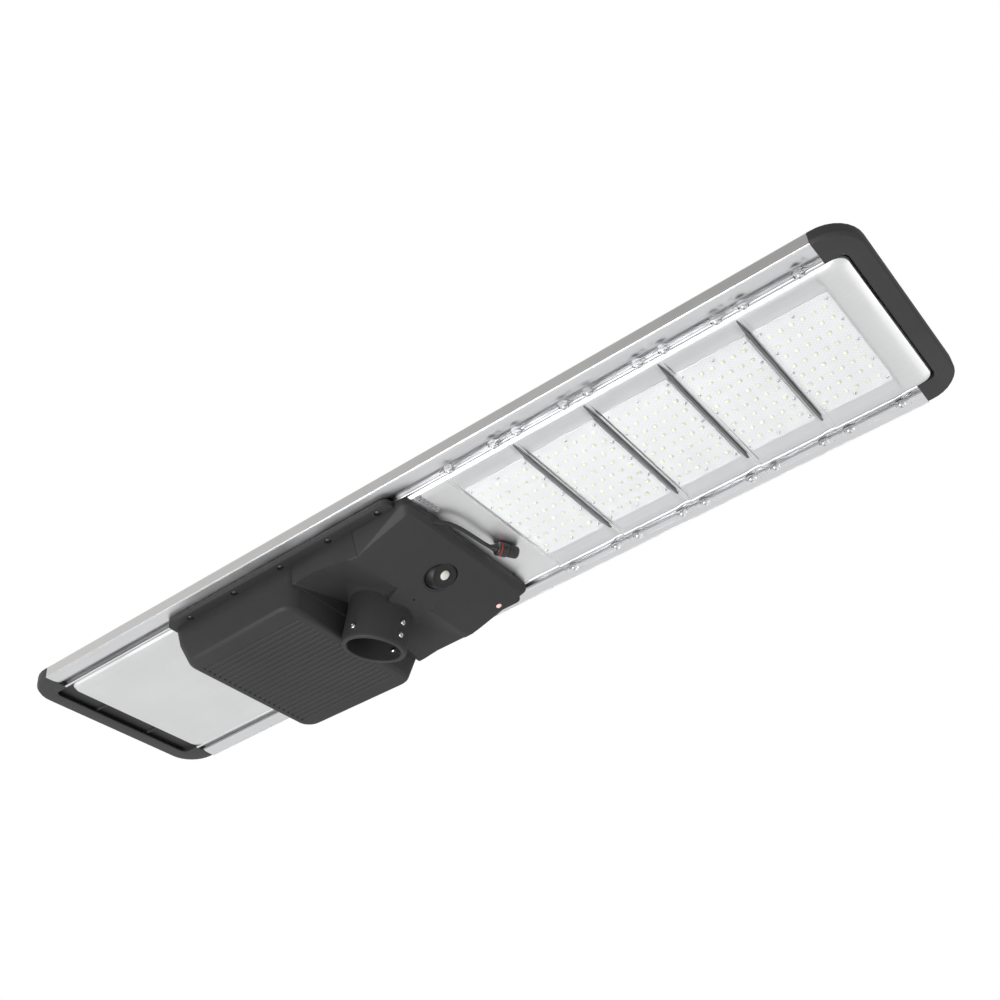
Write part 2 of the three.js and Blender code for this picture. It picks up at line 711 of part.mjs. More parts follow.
function sensorBall() {
  const steps = 9;
  const profile = [[0, -BALL_FACE]];
  const from = -Math.asin(BALL_FACE / BALL_RADIUS);
  const to = Math.asin(BALL_BACK / BALL_RADIUS);
  for (let i = 0; i <= steps; i += 1) {
    const angle = from + ((to - from) * i) / steps;
    profile.push([BALL_RADIUS * Math.cos(angle), BALL_RADIUS * Math.sin(angle)]);
  }
  profile.push([0, BALL_BACK]);
  const socket = rod(7.6, -BALL_FACE - 1, -BALL_FACE + 4, 28);
  return asSolid(turned(profile, 40)).subtract(asSolid(socket));
}

const ballCentre = sensorPoint.clone().addScaledVector(plateNormal, BALL_DEPTH);
const ballAxis = plateNormal.clone().applyAxisAngle(new THREE.Vector3(0, 1, 0), -BALL_TURN);
place('sensor_ball', aimed(asGeometry(sensorBall()), ballCentre, ballAxis), finishes.blackPlastic);

const lensProfile = [
  [0, -BALL_FACE - 2.2], [3.6, -BALL_FACE - 1.9], [6, -BALL_FACE - 1], [7.3, -BALL_FACE + 0.2],
  [7.3, -BALL_FACE + 3.6], [0, -BALL_FACE + 3.6],
];
place('sensor_lens', aimed(turned(lensProfile, 28), ballCentre, ballAxis), finishes.whiteLens);

const retainer = turned(
  [
    [26.7, -8.5], [30, -8.5], [30, 12], [24.9, 12], [24.9, 9], [26.7, 9], [26.7, -8.5],
  ],
  40,
);
place('sensor_retainer', aimed(retainer, ballCentre, plateNormal), finishes.blackPlastic);

const statusPoint = new THREE.Vector3(-6.7, 117.9, plateZ(-6.7));
const statusLens = turned([[0, -1.6], [2.6, -1.2], [4.1, 0], [4.1, 5], [0, 5]], 20);
place('status_lens', aimed(statusLens, statusPoint, plateNormal), finishes.redLens);

// ---------------------------------------------------------------- output lead

const leadRoute = [
  [42.5, -69.9, -11.5], [44.7, -66.1, -11.7], [46.7, -61.8, -11.9], [48.4, -57, -12.2],
  [49.8, -51.8, -12.5], [51, -46.3, -12.8], [51.9, -40.5, -13], [52.6, -34.5, -13.2],
  [53.2, -28.3, -13.3], [53.6, -22, -13.3], [53.9, -15.6, -13.2], [54.1, -9.2, -13],
  [54.3, -2.8, -12.8], [54.5, 3.6, -12.6], [54.9, 9.8, -12.4], [55.6, 15.6, -12.2],
].map(([x, y, z]) => new THREE.Vector3(x, y, z));

function cableTube(points, radius) {
  const curve = new THREE.CatmullRomCurve3(points);
  const section = new THREE.Shape();
  for (let i = 0; i < CABLE_SIDES; i += 1) {
    const angle = (2 * Math.PI * i) / CABLE_SIDES;
    const move = i === 0 ? 'moveTo' : 'lineTo';
    section[move](radius * Math.cos(angle), radius * Math.sin(angle));
  }
  return new THREE.ExtrudeGeometry(section, {
    steps: 24,
    extrudePath: curve,
    bevelEnabled: false,
  });
}

const gland = turned([[0, -8], [4, -8], [4, 3], [3.2, 12], [0, 12]], 20);
place('cable_gland', aimed(gland, cableExit, cableHeading), finishes.darkRubber);
place('output_lead', cableTube(leadRoute, CABLE_RADIUS), finishes.darkRubber);

const plugAxis = new THREE.Vector3(0.42, 0.9, 0.03).normalize();
const plugOrigin = leadRoute.at(-1);
const onPlug = (profile, segments) => aimed(turned(profile, segments), plugOrigin, plugAxis);
place('plug_boot', onPlug([[0, 1.3], [3.6, 1.3], [6, 9], [0, 9]], 20), finishes.darkRubber);
const plugProfile = [
  [0, 9.3], [8.4, 9.3], [10.4, 11.5], [10.4, 25], [8.4, 27.5], [5.4, 27.5], [5.4, 41], [0, 41],
];
place('plug_body', onPlug(plugProfile, 24), finishes.blackPlastic);
const nutProfile = [[5.9, 28.2], [8.4, 28.2], [9, 30], [9, 41], [8, 43], [5.9, 43], [5.9, 28.2]];
place('plug_nut', onPlug(nutProfile, 24), finishes.blackPlastic);

export default lamp;
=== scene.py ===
"""Solar street lamp: the finished pieces that go round its packed frame.

Every piece has its own operator, and the panel in the 3D view's sidebar lists them all.
Lengths in the tables below are millimetres in the lamp's own layout: X = 0 and Y = 0 at the
panel's centre, Z = 0 at the underside of the side rails. mm() turns them into the frame's metres.
"""

import json
import math

import bmesh
import bpy
from mathutils import Matrix, Vector

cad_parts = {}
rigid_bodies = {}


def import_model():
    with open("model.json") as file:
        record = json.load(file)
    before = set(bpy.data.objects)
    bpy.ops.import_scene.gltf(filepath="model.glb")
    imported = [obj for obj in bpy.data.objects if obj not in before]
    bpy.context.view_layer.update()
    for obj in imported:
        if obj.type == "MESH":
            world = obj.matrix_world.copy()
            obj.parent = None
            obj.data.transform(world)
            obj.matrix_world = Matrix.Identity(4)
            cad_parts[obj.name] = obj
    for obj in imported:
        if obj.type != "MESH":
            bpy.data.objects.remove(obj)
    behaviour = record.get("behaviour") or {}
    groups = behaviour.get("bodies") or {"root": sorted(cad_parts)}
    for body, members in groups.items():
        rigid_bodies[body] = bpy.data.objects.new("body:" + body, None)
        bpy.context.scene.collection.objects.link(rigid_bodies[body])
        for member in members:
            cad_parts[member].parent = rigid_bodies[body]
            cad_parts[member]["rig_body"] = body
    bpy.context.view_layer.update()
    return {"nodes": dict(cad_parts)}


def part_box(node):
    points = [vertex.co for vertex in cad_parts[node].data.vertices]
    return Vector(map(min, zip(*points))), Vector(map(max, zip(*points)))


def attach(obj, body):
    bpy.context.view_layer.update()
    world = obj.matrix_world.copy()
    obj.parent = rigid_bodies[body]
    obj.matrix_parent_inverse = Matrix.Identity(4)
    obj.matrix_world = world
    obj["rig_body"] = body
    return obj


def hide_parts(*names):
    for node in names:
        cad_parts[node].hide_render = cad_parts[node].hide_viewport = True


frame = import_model()

bl_info = {
    "name": "Solar street lamp",
    "version": (1, 0, 0),
    "blender": (4, 5, 0),
    "location": "View3D > Sidebar > Street lamp",
    "description": "Builds the visible pieces of a solar street lamp around its frame",
    "category": "Object",
}

LAMP = "lamp"
OFFSET_X, OFFSET_Z = 148.0, 98.0

MODULE_COUNT = 5
MODULE_PITCH = 109.5
FIRST_MODULE_X = 585.0
PLATE_TILT = math.radians(15.5)
SLEEVE_TILT = math.radians(15.7)
SLEEVE_MOUTH = (-148, 0, -98)
RAIL_HALF_LENGTH = 650.7
BOARD_FACE_Z = -2.9
CABLE_EXIT = (34, -80, -11.5)
CABLE_HEADING = (0.6, 0.8, 0)

LEAD_ROUTE = [
    (42.5, -69.9, -11.5), (44.7, -66.1, -11.7), (46.7, -61.8, -11.9), (48.4, -57, -12.2),
    (49.8, -51.8, -12.5), (51, -46.3, -12.8), (51.9, -40.5, -13), (52.6, -34.5, -13.2),
    (53.2, -28.3, -13.3), (53.6, -22, -13.3), (53.9, -15.6, -13.2), (54.1, -9.2, -13),
    (54.3, -2.8, -12.8), (54.5, 3.6, -12.6), (54.9, 9.8, -12.4), (55.6, 15.6, -12.2),
]


def mm(x, y, z):
    """A point of the lamp's layout, in the frame's metres."""
    return Vector(((x + OFFSET_X) / 1000, y / 1000, (z + OFFSET_Z) / 1000))


def plate_z(x):
    """Height of the sensor plate's outer face."""
    return -49.3 + (x + 71) * math.tan(PLATE_TILT)


# ---------------------------------------------------------------- shader groups


def add_socket(group, name, direction, kind="NodeSocketFloat", value=None):
    socket = group.interface.new_socket(name=name, in_out=direction, socket_type=kind)
    if value is not None:
        socket.default_value = value


def shader_group(name):
    group = bpy.data.node_groups.new(name, "ShaderNodeTree")
    inlet = group.nodes.new("NodeGroupInput")
    outlet = group.nodes.new("NodeGroupOutput")
    return group, inlet, outlet


def math_node(tree, operation, first, second, clamp=False):
    node = tree.nodes.new("ShaderNodeMath")
    node.operation = operation
    node.use_clamp = clamp
    for index, value in enumerate((first, second)):
        if isinstance(value, (int, float)):
            node.inputs[index].default_value = value
        else:
            tree.links.new(value, node.inputs[index])
    return node.outputs[0]


def object_noise(tree, scale, detail=3.0, stretch=None):
    """Noise on Object coordinates, its scale a number or a socket."""
    coordinates = tree.nodes.new("ShaderNodeTexCoord").outputs["Object"]
    if stretch is not None:
        mapping = tree.nodes.new("ShaderNodeMapping")
        mapping.inputs["Scale"].default_value = stretch
        tree.links.new(coordinates, mapping.inputs["Vector"])
        coordinates = mapping.outputs["Vector"]
    noise = tree.nodes.new("ShaderNodeTexNoise")
    noise.inputs["Detail"].default_value = detail
    tree.links.new(coordinates, noise.inputs["Vector"])
    if isinstance(scale, (int, float)):
        noise.inputs["Scale"].default_value = scale
    else:
        tree.links.new(scale, noise.inputs["Scale"])
    return noise.outputs["Fac"]


def spread(tree, value, low, high):
    """Map 0.3..0.7, where most noise lies, to low..high."""
    node = tree.nodes.new("ShaderNodeMapRange")
    node.inputs["From Min"].default_value = 0.3
    node.inputs["From Max"].default_value = 0.7
    for name, limit in (("To Min", low), ("To Max", high)):
        if isinstance(limit, (int, float)):
            node.inputs[name].default_value = limit
        else:
            tree.links.new(limit, node.inputs[name])
    tree.links.new(value, node.inputs["Value"])
    return node.outputs["Result"]


def make_grain_group():
    """Moulded grain: a fine height and a broad, slow change of shade."""
    group, inlet, outlet = shader_group("Moulded grain")
    add_socket(group, "Grain scale", "INPUT", value=900.0)
    add_socket(group, "Patch scale", "INPUT", value=9.0)
    add_socket(group, "Patch depth", "INPUT", value=0.12)
    add_socket(group, "Height", "OUTPUT")
    add_socket(group, "Shade", "OUTPUT")
    fine = object_noise(group, inlet.outputs["Grain scale"], 2.0)
    broad = object_noise(group, inlet.outputs["Patch scale"], 4.0)
    low = math_node(group, "SUBTRACT", 1.0, inlet.outputs["Patch depth"])
    high = math_node(group, "ADD", 1.0, inlet.outputs["Patch depth"])
    group.links.new(fine, outlet.inputs["Height"])
    group.links.new(spread(group, broad, low, high), outlet.inputs["Shade"])
    return group


def make_drawn_group():
    """Drawn or rolled metal: long fine lines along X, with handling marks over them."""
    group, inlet, outlet = shader_group("Drawn metal")
    add_socket(group, "Line scale", "INPUT", value=1.0)
    add_socket(group, "Line depth", "INPUT", value=0.06)
    add_socket(group, "Height", "OUTPUT")
    add_socket(group, "Shade", "OUTPUT")
    add_socket(group, "Marks", "OUTPUT")
    lines = object_noise(group, inlet.outputs["Line scale"], 3.0, (2.0, 700.0, 700.0))
    marks = object_noise(group, 14.0, 6.0)
    low = math_node(group, "SUBTRACT", 1.0, inlet.outputs["Line depth"])
    group.links.new(lines, outlet.inputs["Height"])
    group.links.new(spread(group, lines, low, 1.0), outlet.inputs["Shade"])
    group.links.new(spread(group, marks, 0.0, 1.0), outlet.inputs["Marks"])
    return group


def make_dust_group():
    """Dust that settles on what faces up, thicker in patches."""
    group, inlet, outlet = shader_group("Settled dust")
    add_socket(group, "Amount", "INPUT", value=0.25)
    add_socket(group, "Mask", "OUTPUT")
    geometry = group.nodes.new("ShaderNodeNewGeometry")
    split = group.nodes.new("ShaderNodeSeparateXYZ")
    group.links.new(geometry.outputs["Normal"], split.inputs[0])
    facing = math_node(group, "MULTIPLY", split.outputs["Z"], inlet.outputs["Amount"], True)
    patches = spread(group, object_noise(group, 22.0, 7.0), 0.1, 1.0)
    group.links.new(math_node(group, "MULTIPLY", facing, patches, True), outlet.inputs["Mask"])
    return group


def shader_effect(name):
    makers = {
        "Moulded grain": make_grain_group,
        "Drawn metal": make_drawn_group,
        "Settled dust": make_dust_group,
    }
    return bpy.data.node_groups.get(name) or makers[name]()


# ---------------------------------------------------------------- materials


class Finish:
    """A Principled material and short ways to wire it."""

    def __init__(self, name, color, roughness, **sockets):
        self.material = bpy.data.materials.new(name)
        self.material.use_nodes = True
        self.tree = self.material.node_tree
        self.shader = self.tree.nodes["Principled BSDF"]
        self.color = (*color, 1.0)
        self.set("Base Color", self.color)
        self.set("Roughness", roughness)
        for socket, value in sockets.items():
            self.set(socket.replace("_", " "), value)
        self.material.diffuse_color = self.color

    def set(self, socket, value):
        self.shader.inputs[socket].default_value = value

    def link(self, value, socket):
        self.tree.links.new(value, self.shader.inputs[socket])

    def effect(self, name, **values):
        node = self.tree.nodes.new("ShaderNodeGroup")
        node.node_tree = shader_effect(name)
        for socket, value in values.items():
            node.inputs[socket.replace("_", " ")].default_value = value
        return node

    def mixed(self, factor, first, second, blend="MIX"):
        node = self.tree.nodes.new("ShaderNodeMix")
        node.data_type = "RGBA"
        node.blend_type = blend
        for index, value in ((0, factor), (6, first), (7, second)):
            if hasattr(value, "is_output"):
                self.tree.links.new(value, node.inputs[index])
            else:
                node.inputs[index].default_value = value
        return node.outputs[2]

    def shaded(self, shade, color=None):
        """The base colour times a shade value."""
        return self.mixed(1.0, color or self.color, shade, "MULTIPLY")

    def bump(self, height, distance, strength=1.0):
        node = self.tree.nodes.new("ShaderNodeBump")
        node.inputs["Strength"].default_value = strength
        node.inputs["Distance"].default_value = distance
        self.tree.links.new(height, node.inputs["Height"])
        self.link(node.outputs["Normal"], "Normal")

    def coordinates(self):
        node = self.tree.nodes.new("ShaderNodeTexCoord")
        return node.outputs["Object"]


def moulded(name, color, roughness, grain=900.0, depth=0.12, dust=0.0, height=0.00012, **sockets):
    """Moulded plastic or rubber, with dust on it where the amount is above nothing."""
    finish = Finish(name, color, roughness, **sockets)
    group = finish.effect("Moulded grain", Grain_scale=grain, Patch_depth=depth)
    shade = finish.shaded(group.outputs["Shade"])
    if dust:
        settled = finish.effect("Settled dust", Amount=dust)
        shade = finish.mixed(settled.outputs["Mask"], shade, (0.32, 0.29, 0.25, 1.0))
    finish.link(shade, "Base Color")
    rough = spread(finish.tree, group.outputs["Height"], roughness - 0.06, roughness + 0.06)
    finish.link(rough, "Roughness")
    finish.bump(group.outputs["Height"], height, 0.6)
    return finish.material


def drawn(name, color, roughness, depth=0.06, height=0.00004, **sockets):
    """Rolled or extruded metal, marked along its length."""
    finish = Finish(name, color, roughness, Metallic=1.0, **sockets)
    group = finish.effect("Drawn metal", Line_depth=depth)
    finish.link(finish.shaded(group.outputs["Shade"]), "Base Color")
    rough = spread(finish.tree, group.outputs["Marks"], roughness - 0.04, roughness + 0.05)
    finish.link(rough, "Roughness")
    finish.bump(group.outputs["Height"], height, 0.5)
    return finish.material


def rail_finish_with_slot_shade(name, color, roughness):
    """Drawn metal, with painted shade darkening the inside of the screw slot."""
    material = drawn(name, color, roughness)
    tree = material.node_tree
    shader = tree.nodes["Principled BSDF"]
    split = tree.nodes.new("ShaderNodeSeparateXYZ")
    tree.links.new(tree.nodes.new("ShaderNodeTexCoord").outputs["Object"], split.inputs[0])
    across = math_node(tree, "ABSOLUTE", split.outputs["Y"], 0.0)
    inside = math_node(tree, "COMPARE", across, 0.144)
    inside.node.inputs[2].default_value = 0.0078
    raised = math_node(tree, "GREATER_THAN", split.outputs["Z"], 0.0986)
    below = math_node(tree, "LESS_THAN", split.outputs["Z"], 0.1065)
    slot = math_node(tree, "MULTIPLY", math_node(tree, "MULTIPLY", inside, raised), below)
    # Painted shade: inside the slot the colour is mixed towards a mid grey, standing for the shade
    # in the deep slot.
    mix = tree.nodes.new("ShaderNodeMix")
    mix.data_type = "RGBA"
    mix.inputs[7].default_value = (0.5, 0.5, 0.51, 1)
    tree.links.new(slot, mix.inputs[0])
    tree.links.new(shader.inputs["Base Color"].links[0].from_socket, mix.inputs[6])
    tree.links.new(mix.outputs[2], shader.inputs["Base Color"])
    return material


def turned_steel(name, color, roughness):
    finish = Finish(name, color, roughness, Metallic=1.0)
    noise = object_noise(finish.tree, 1200.0, 3.0)
    finish.link(finish.shaded(spread(finish.tree, noise, 0.88, 1.04)), "Base Color")
    finish.link(spread(finish.tree, noise, roughness - 0.05, roughness + 0.09), "Roughness")
    finish.bump(noise, 0.00003, 0.4)
    return finish.material


def clear_plastic(name, color, roughness, ior, waves):
    """Clear sheet with patchy haze, its faces wavy by the given height."""
    finish = Finish(name, color, roughness, Transmission_Weight=1.0, IOR=ior)
    haze = object_noise(finish.tree, 60.0, 5.0)
    finish.link(spread(finish.tree, haze, roughness, roughness + 0.06), "Roughness")
    finish.bump(object_noise(finish.tree, 25.0, 2.0), waves, 0.25)
    return finish.material


def board_finish_with_glow(name, color):
    """White solder mask with the faint outline of the copper under it, and a faint painted white
    glow.
    """
    # Painted light: a faint white emission makes the unlit board glow a little.
    finish = Finish(name, color, 0.42, Emission_Color=(1, 1, 1, 1), Emission_Strength=0.03)
    brick = finish.tree.nodes.new("ShaderNodeTexBrick")
    brick.inputs["Scale"].default_value = 82.0
    brick.inputs["Mortar Size"].default_value = 0.06
    brick.inputs["Color1"].default_value = (1, 1, 1, 1)
    brick.inputs["Color2"].default_value = (0.955, 0.955, 0.955, 1)
    brick.inputs["Mortar"].default_value = (0.86, 0.87, 0.88, 1)
    finish.tree.links.new(finish.coordinates(), brick.inputs["Vector"])
    finish.link(finish.shaded(brick.outputs["Color"]), "Base Color")
    finish.bump(brick.outputs["Fac"], -0.00005, 0.5)
    return finish.material


def cell_finish(name, color):
    """Silicon cell: fine printed fingers over a slowly changing dark blue."""
    finish = Finish(name, color, 0.28, Coat_Weight=0.4)
    wave = finish.tree.nodes.new("ShaderNodeTexWave")
    wave.bands_direction = "X"
    wave.inputs["Scale"].default_value = 160.0
    finish.tree.links.new(finish.coordinates(), wave.inputs["Vector"])
    ramp = finish.tree.nodes.new("ShaderNodeMapRange")
    ramp.inputs["From Min"].default_value = 0.93
    ramp.inputs["From Max"].default_value = 1.0
    ramp.inputs["To Max"].default_value = 0.5
    finish.tree.links.new(wave.outputs["Fac"], ramp.inputs["Value"])
    broad = object_noise(finish.tree, 12.0, 5.0)
    base = finish.shaded(spread(finish.tree, broad, 0.75, 1.3))
    lines = finish.mixed(ramp.outputs["Result"], base, (0.5, 0.53, 0.58, 1.0))
    finish.link(lines, "Base Color")
    return finish.material


def speckled(name, color, roughness, second, scale, **sockets):
    """A smooth finish that drifts between two colours."""
    finish = Finish(name, color, roughness, **sockets)
    noise = spread(finish.tree, object_noise(finish.tree, scale, 4.0), 0.0, 1.0)
    finish.link(finish.mixed(noise, finish.color, (*second, 1.0)), "Base Color")
    finish.link(spread(finish.tree, noise, roughness, roughness + 0.08), "Roughness")
    return finish.material


MATERIAL_MAKERS = {
    "rail_aluminium": lambda name: rail_finish_with_slot_shade(name, (0.88, 0.885, 0.895), 0.36),
    "tray_sheet": lambda name: drawn(name, (0.9, 0.905, 0.91), 0.4, 0.04),
    "cap_plastic": lambda name: moulded(
        name, (0.031, 0.031, 0.032), 0.5, dust=0.05, Specular_IOR_Level=0.4
    ),
    "housing_plastic": lambda name: moulded(
        name, (0.022, 0.022, 0.023), 0.57, dust=0.06, Specular_IOR_Level=0.4
    ),
    "box_plastic": lambda name: moulded(name, (0.03, 0.03, 0.032), 0.55),
    "panel_glass": lambda name: clear_plastic(name, (0.93, 0.97, 0.96), 0.02, 1.45, 0.00001),
    "clear_cover": lambda name: clear_plastic(name, (0.99, 0.995, 1.0), 0.05, 1.1, 0.0003),
    "led_board": lambda name: board_finish_with_glow(name, (0.95, 0.948, 0.942)),
    "solar_cells": lambda name: cell_finish(name, (0.012, 0.02, 0.055)),
    "screw_steel": lambda name: turned_steel(name, (0.78, 0.78, 0.79), 0.2),
    "strap_steel": lambda name: turned_steel(name, (0.55, 0.56, 0.57), 0.35),
    "divider_rubber": lambda name: moulded(
        name, (0.15, 0.15, 0.153), 0.8, depth=0.2, Specular_IOR_Level=0.2
    ),
    "seal_rubber": lambda name: moulded(name, (0.03, 0.03, 0.03), 0.7),
    "battery_wrap": lambda name: speckled(name, (0.03, 0.12, 0.4), 0.25, (0.05, 0.17, 0.5), 30.0),
    "controller_case": lambda name: speckled(
        name, (0.02, 0.13, 0.05), 0.4, (0.03, 0.2, 0.07), 90.0
    ),
    "sensor_plastic": lambda name: moulded(
        name, (0.008, 0.008, 0.0085), 0.42, height=0.00004, Specular_IOR_Level=0.35
    ),
    "sensor_lens_plastic": lambda name: speckled(
        name, (0.66, 0.65, 0.61), 0.4, (0.58, 0.57, 0.54), 260.0
    ),
    "status_lens_plastic": lambda name: speckled(
        name, (0.92, 0.5, 0.47), 0.22, (0.95, 0.7, 0.66), 300.0
    ),
    "cable_rubber": lambda name: moulded(name, (0.014, 0.014, 0.015), 0.5, grain=1400.0),
    "plug_plastic": lambda name: moulded(name, (0.014, 0.014, 0.015), 0.38, grain=1200.0),
    "led_body": lambda name: speckled(name, (0.84, 0.84, 0.85), 0.4, (0.78, 0.78, 0.79), 800.0),
    "led_phosphor": lambda name: speckled(name, (0.97, 0.95, 0.7), 0.3, (0.98, 0.97, 0.8), 900.0),
    "backsheet": lambda name: speckled(name, (0.8, 0.81, 0.82), 0.5, (0.74, 0.75, 0.77), 40.0),
    "busbar_ribbon": lambda name: drawn(name, (0.8, 0.8, 0.82), 0.3),
    # Near white for the cover ribs: partly their own frost, partly painted reflection streaks.
    "rib_frost_and_reflection": lambda name: speckled(name, (0.95, 0.95, 0.96), 0.4, (0.9, 0.9, 0.91), 500.0),
    "black_screw": lambda name: turned_steel(name, (0.11, 0.11, 0.115), 0.3),
    "seal_ring": lambda name: speckled(name, (0.35, 0.02, 0.015), 0.4, (0.5, 0.04, 0.03), 500.0),
    "label_film": lambda name: label_finish(name),
}


def label_finish(name):
    """Plain printed sticker: a grey field with blank lighter boxes."""
    finish = Finish(name, (0.2, 0.2, 0.21), 0.4)
    brick = finish.tree.nodes.new("ShaderNodeTexBrick")
    brick.inputs["Scale"].default_value = 60.0
    brick.inputs["Mortar Size"].default_value = 0.08
    brick.inputs["Color1"].default_value = (0.02, 0.02, 0.02, 1)
    brick.inputs["Color2"].default_value = (0.05, 0.05, 0.05, 1)
    brick.inputs["Mortar"].default_value = (0.3, 0.3, 0.31, 1)
    finish.tree.links.new(finish.coordinates(), brick.inputs["Vector"])
    finish.link(brick.outputs["Color"], "Base Color")
    return finish.material


def material(name):
    return bpy.data.materials.get("Lamp " + name) or MATERIAL_MAKERS[name]("Lamp " + name)


# ---------------------------------------------------------------- mesh helpers


def rounded_plan(x0, half0, x1, half1, radius, steps=8):
    """Plan outline between two X stations, with a half width at each and rounded corners."""
    corners = (
        (x1 - radius, half1 - radius, 0),
        (x0 + radius, half0 - radius, 90),
        (x0 + radius, radius - half0, 180),
        (x1 - radius, radius - half1, 270),
    )
    points = []
    for x, y, start in corners:
        for step in range(steps + 1):
            angle = math.radians(start + 90 * step / steps)
            points.append((x + radius * math.cos(angle), y + radius * math.sin(angle)))
    return points


def loft_mesh(bm, rings, closed=False):
    """Skin rings of equal point count; the ends are capped unless the rings close on themselves."""
    rows = [[bm.verts.new(mm(x, y, z)) for x, y, z in ring] for ring in rings]
    pairs = list(zip(rows, rows[1:]))
    if closed:
        pairs.append((rows[-1], rows[0]))
    for low, high in pairs:
        for i, vertex in enumerate(low):
            j = (i + 1) % len(low)
            bm.faces.new((vertex, low[j], high[j], high[i]))
    if not closed:
        bm.faces.new(rows[0])
        bm.faces.new(rows[-1])


def finish_mesh(name, bm, finish, angle=35.0):
    """Make an object of a bmesh, normals out, smooth except where it creases."""
    bmesh.ops.recalc_face_normals(bm, faces=bm.faces)
    mesh = bpy.data.meshes.new(name)
    bm.to_mesh(mesh)
    bm.free()
    return add_object(name, mesh, finish, angle)


def add_object(name, mesh, finish, angle=35.0):
    mesh.materials.clear()
    mesh.materials.append(material(finish))
    piece = bpy.data.objects.new(name, mesh)
    bpy.context.scene.collection.objects.link(piece)
    shade_by_angle(mesh, angle)
    return piece


def shade_by_angle(mesh, angle):
    bm = bmesh.new()
    bm.from_mesh(mesh)
    limit = math.radians(angle)
    for face in bm.faces:
        face.smooth = True
    for edge in bm.edges:
        edge.smooth = len(edge.link_faces) == 2 and edge.calc_face_angle(0) < limit
    bm.to_mesh(mesh)
    bm.free()


def apply_modifiers(piece):
    """Turn a piece with modifiers into a plain mesh."""
    graph = bpy.context.evaluated_depsgraph_get()
    baked = bpy.data.meshes.new_from_object(piece.evaluated_get(graph))
    piece.modifiers.clear()
    piece.data = baked
    return piece


def bevel(piece, width, segments=2, angle=30.0):
    modifier = piece.modifiers.new("Edge", "BEVEL")
    modifier.width = width / 1000
    modifier.segments = segments
    modifier.limit_method = "ANGLE"
    modifier.angle_limit = math.radians(angle)
    modifier.use_clamp_overlap = True
    modifier.miter_outer = "MITER_ARC"
    return apply_modifiers(piece)


def softened(node, name, finish, width, segments=2, angle=30.0):
    """A CAD node's shape with its facets joined and its edges eased."""
    bm = bmesh.new()
    bm.from_mesh(frame["nodes"][node].data)
    bmesh.ops.remove_doubles(bm, verts=bm.verts, dist=1e-6)
    if width:
        bmesh.ops.dissolve_limit(bm, angle_limit=math.radians(0.6), verts=bm.verts, edges=bm.edges)
    mesh = bpy.data.meshes.new(name)
    bm.to_mesh(mesh)
    bm.free()
    piece = add_object(name, mesh, finish)
    if width:
        bevel(piece, width, segments, angle)
        shade_by_angle(piece.data, 40.0)
    settle(piece, finish, frame["nodes"][node]["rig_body"], node)
    return piece


def settle(piece, finish, body=LAMP, *nodes):
    """Fix a finished piece to its body and hide the nodes it stands for; the finish argument is not
    used.
    """
    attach(piece, body)
    if nodes:
        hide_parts(*nodes)
    return piece


def turned(bm, profile, origin, axis, segments=48):
    """Turn a closed [radius, height] profile about an axis through origin."""
    turn = Vector((0, 0, 1)).rotation_difference(Vector(axis).normalized())
    rows = []
    for radius, height in profile:
        if radius == 0:
            rows.append([bm.verts.new(origin + turn @ Vector((0, 0, height)) / 1000)])
            continue
        row = []
        for i in range(segments):
            angle = 2 * math.pi * i / segments
            point = Vector((radius * math.cos(angle), radius * math.sin(angle), height))
            row.append(bm.verts.new(origin + turn @ point / 1000))
        rows.append(row)
    for low, high in zip(rows, rows[1:] + rows[:1]):
        if len(low) == 1 and len(high) == 1:
            continue
        for i in range(segments):
            j = (i + 1) % segments
            loop = [low[i % len(low)], low[j % len(low)], high[j % len(high)], high[i % len(high)]]
            bm.faces.new(list(dict.fromkeys(loop)))


# ---------------------------------------------------------------- geometry nodes

GRID_INPUTS = (
    ("Piece", "NodeSocketObject"),
    ("Finish", "NodeSocketMaterial"),
    ("Columns", "NodeSocketInt"),
    ("Rows", "NodeSocketInt"),
    ("Step", "NodeSocketVector"),
    ("Groups", "NodeSocketInt"),
    ("Group step", "NodeSocketVector"),
    ("Centre", "NodeSocketVector"),
)


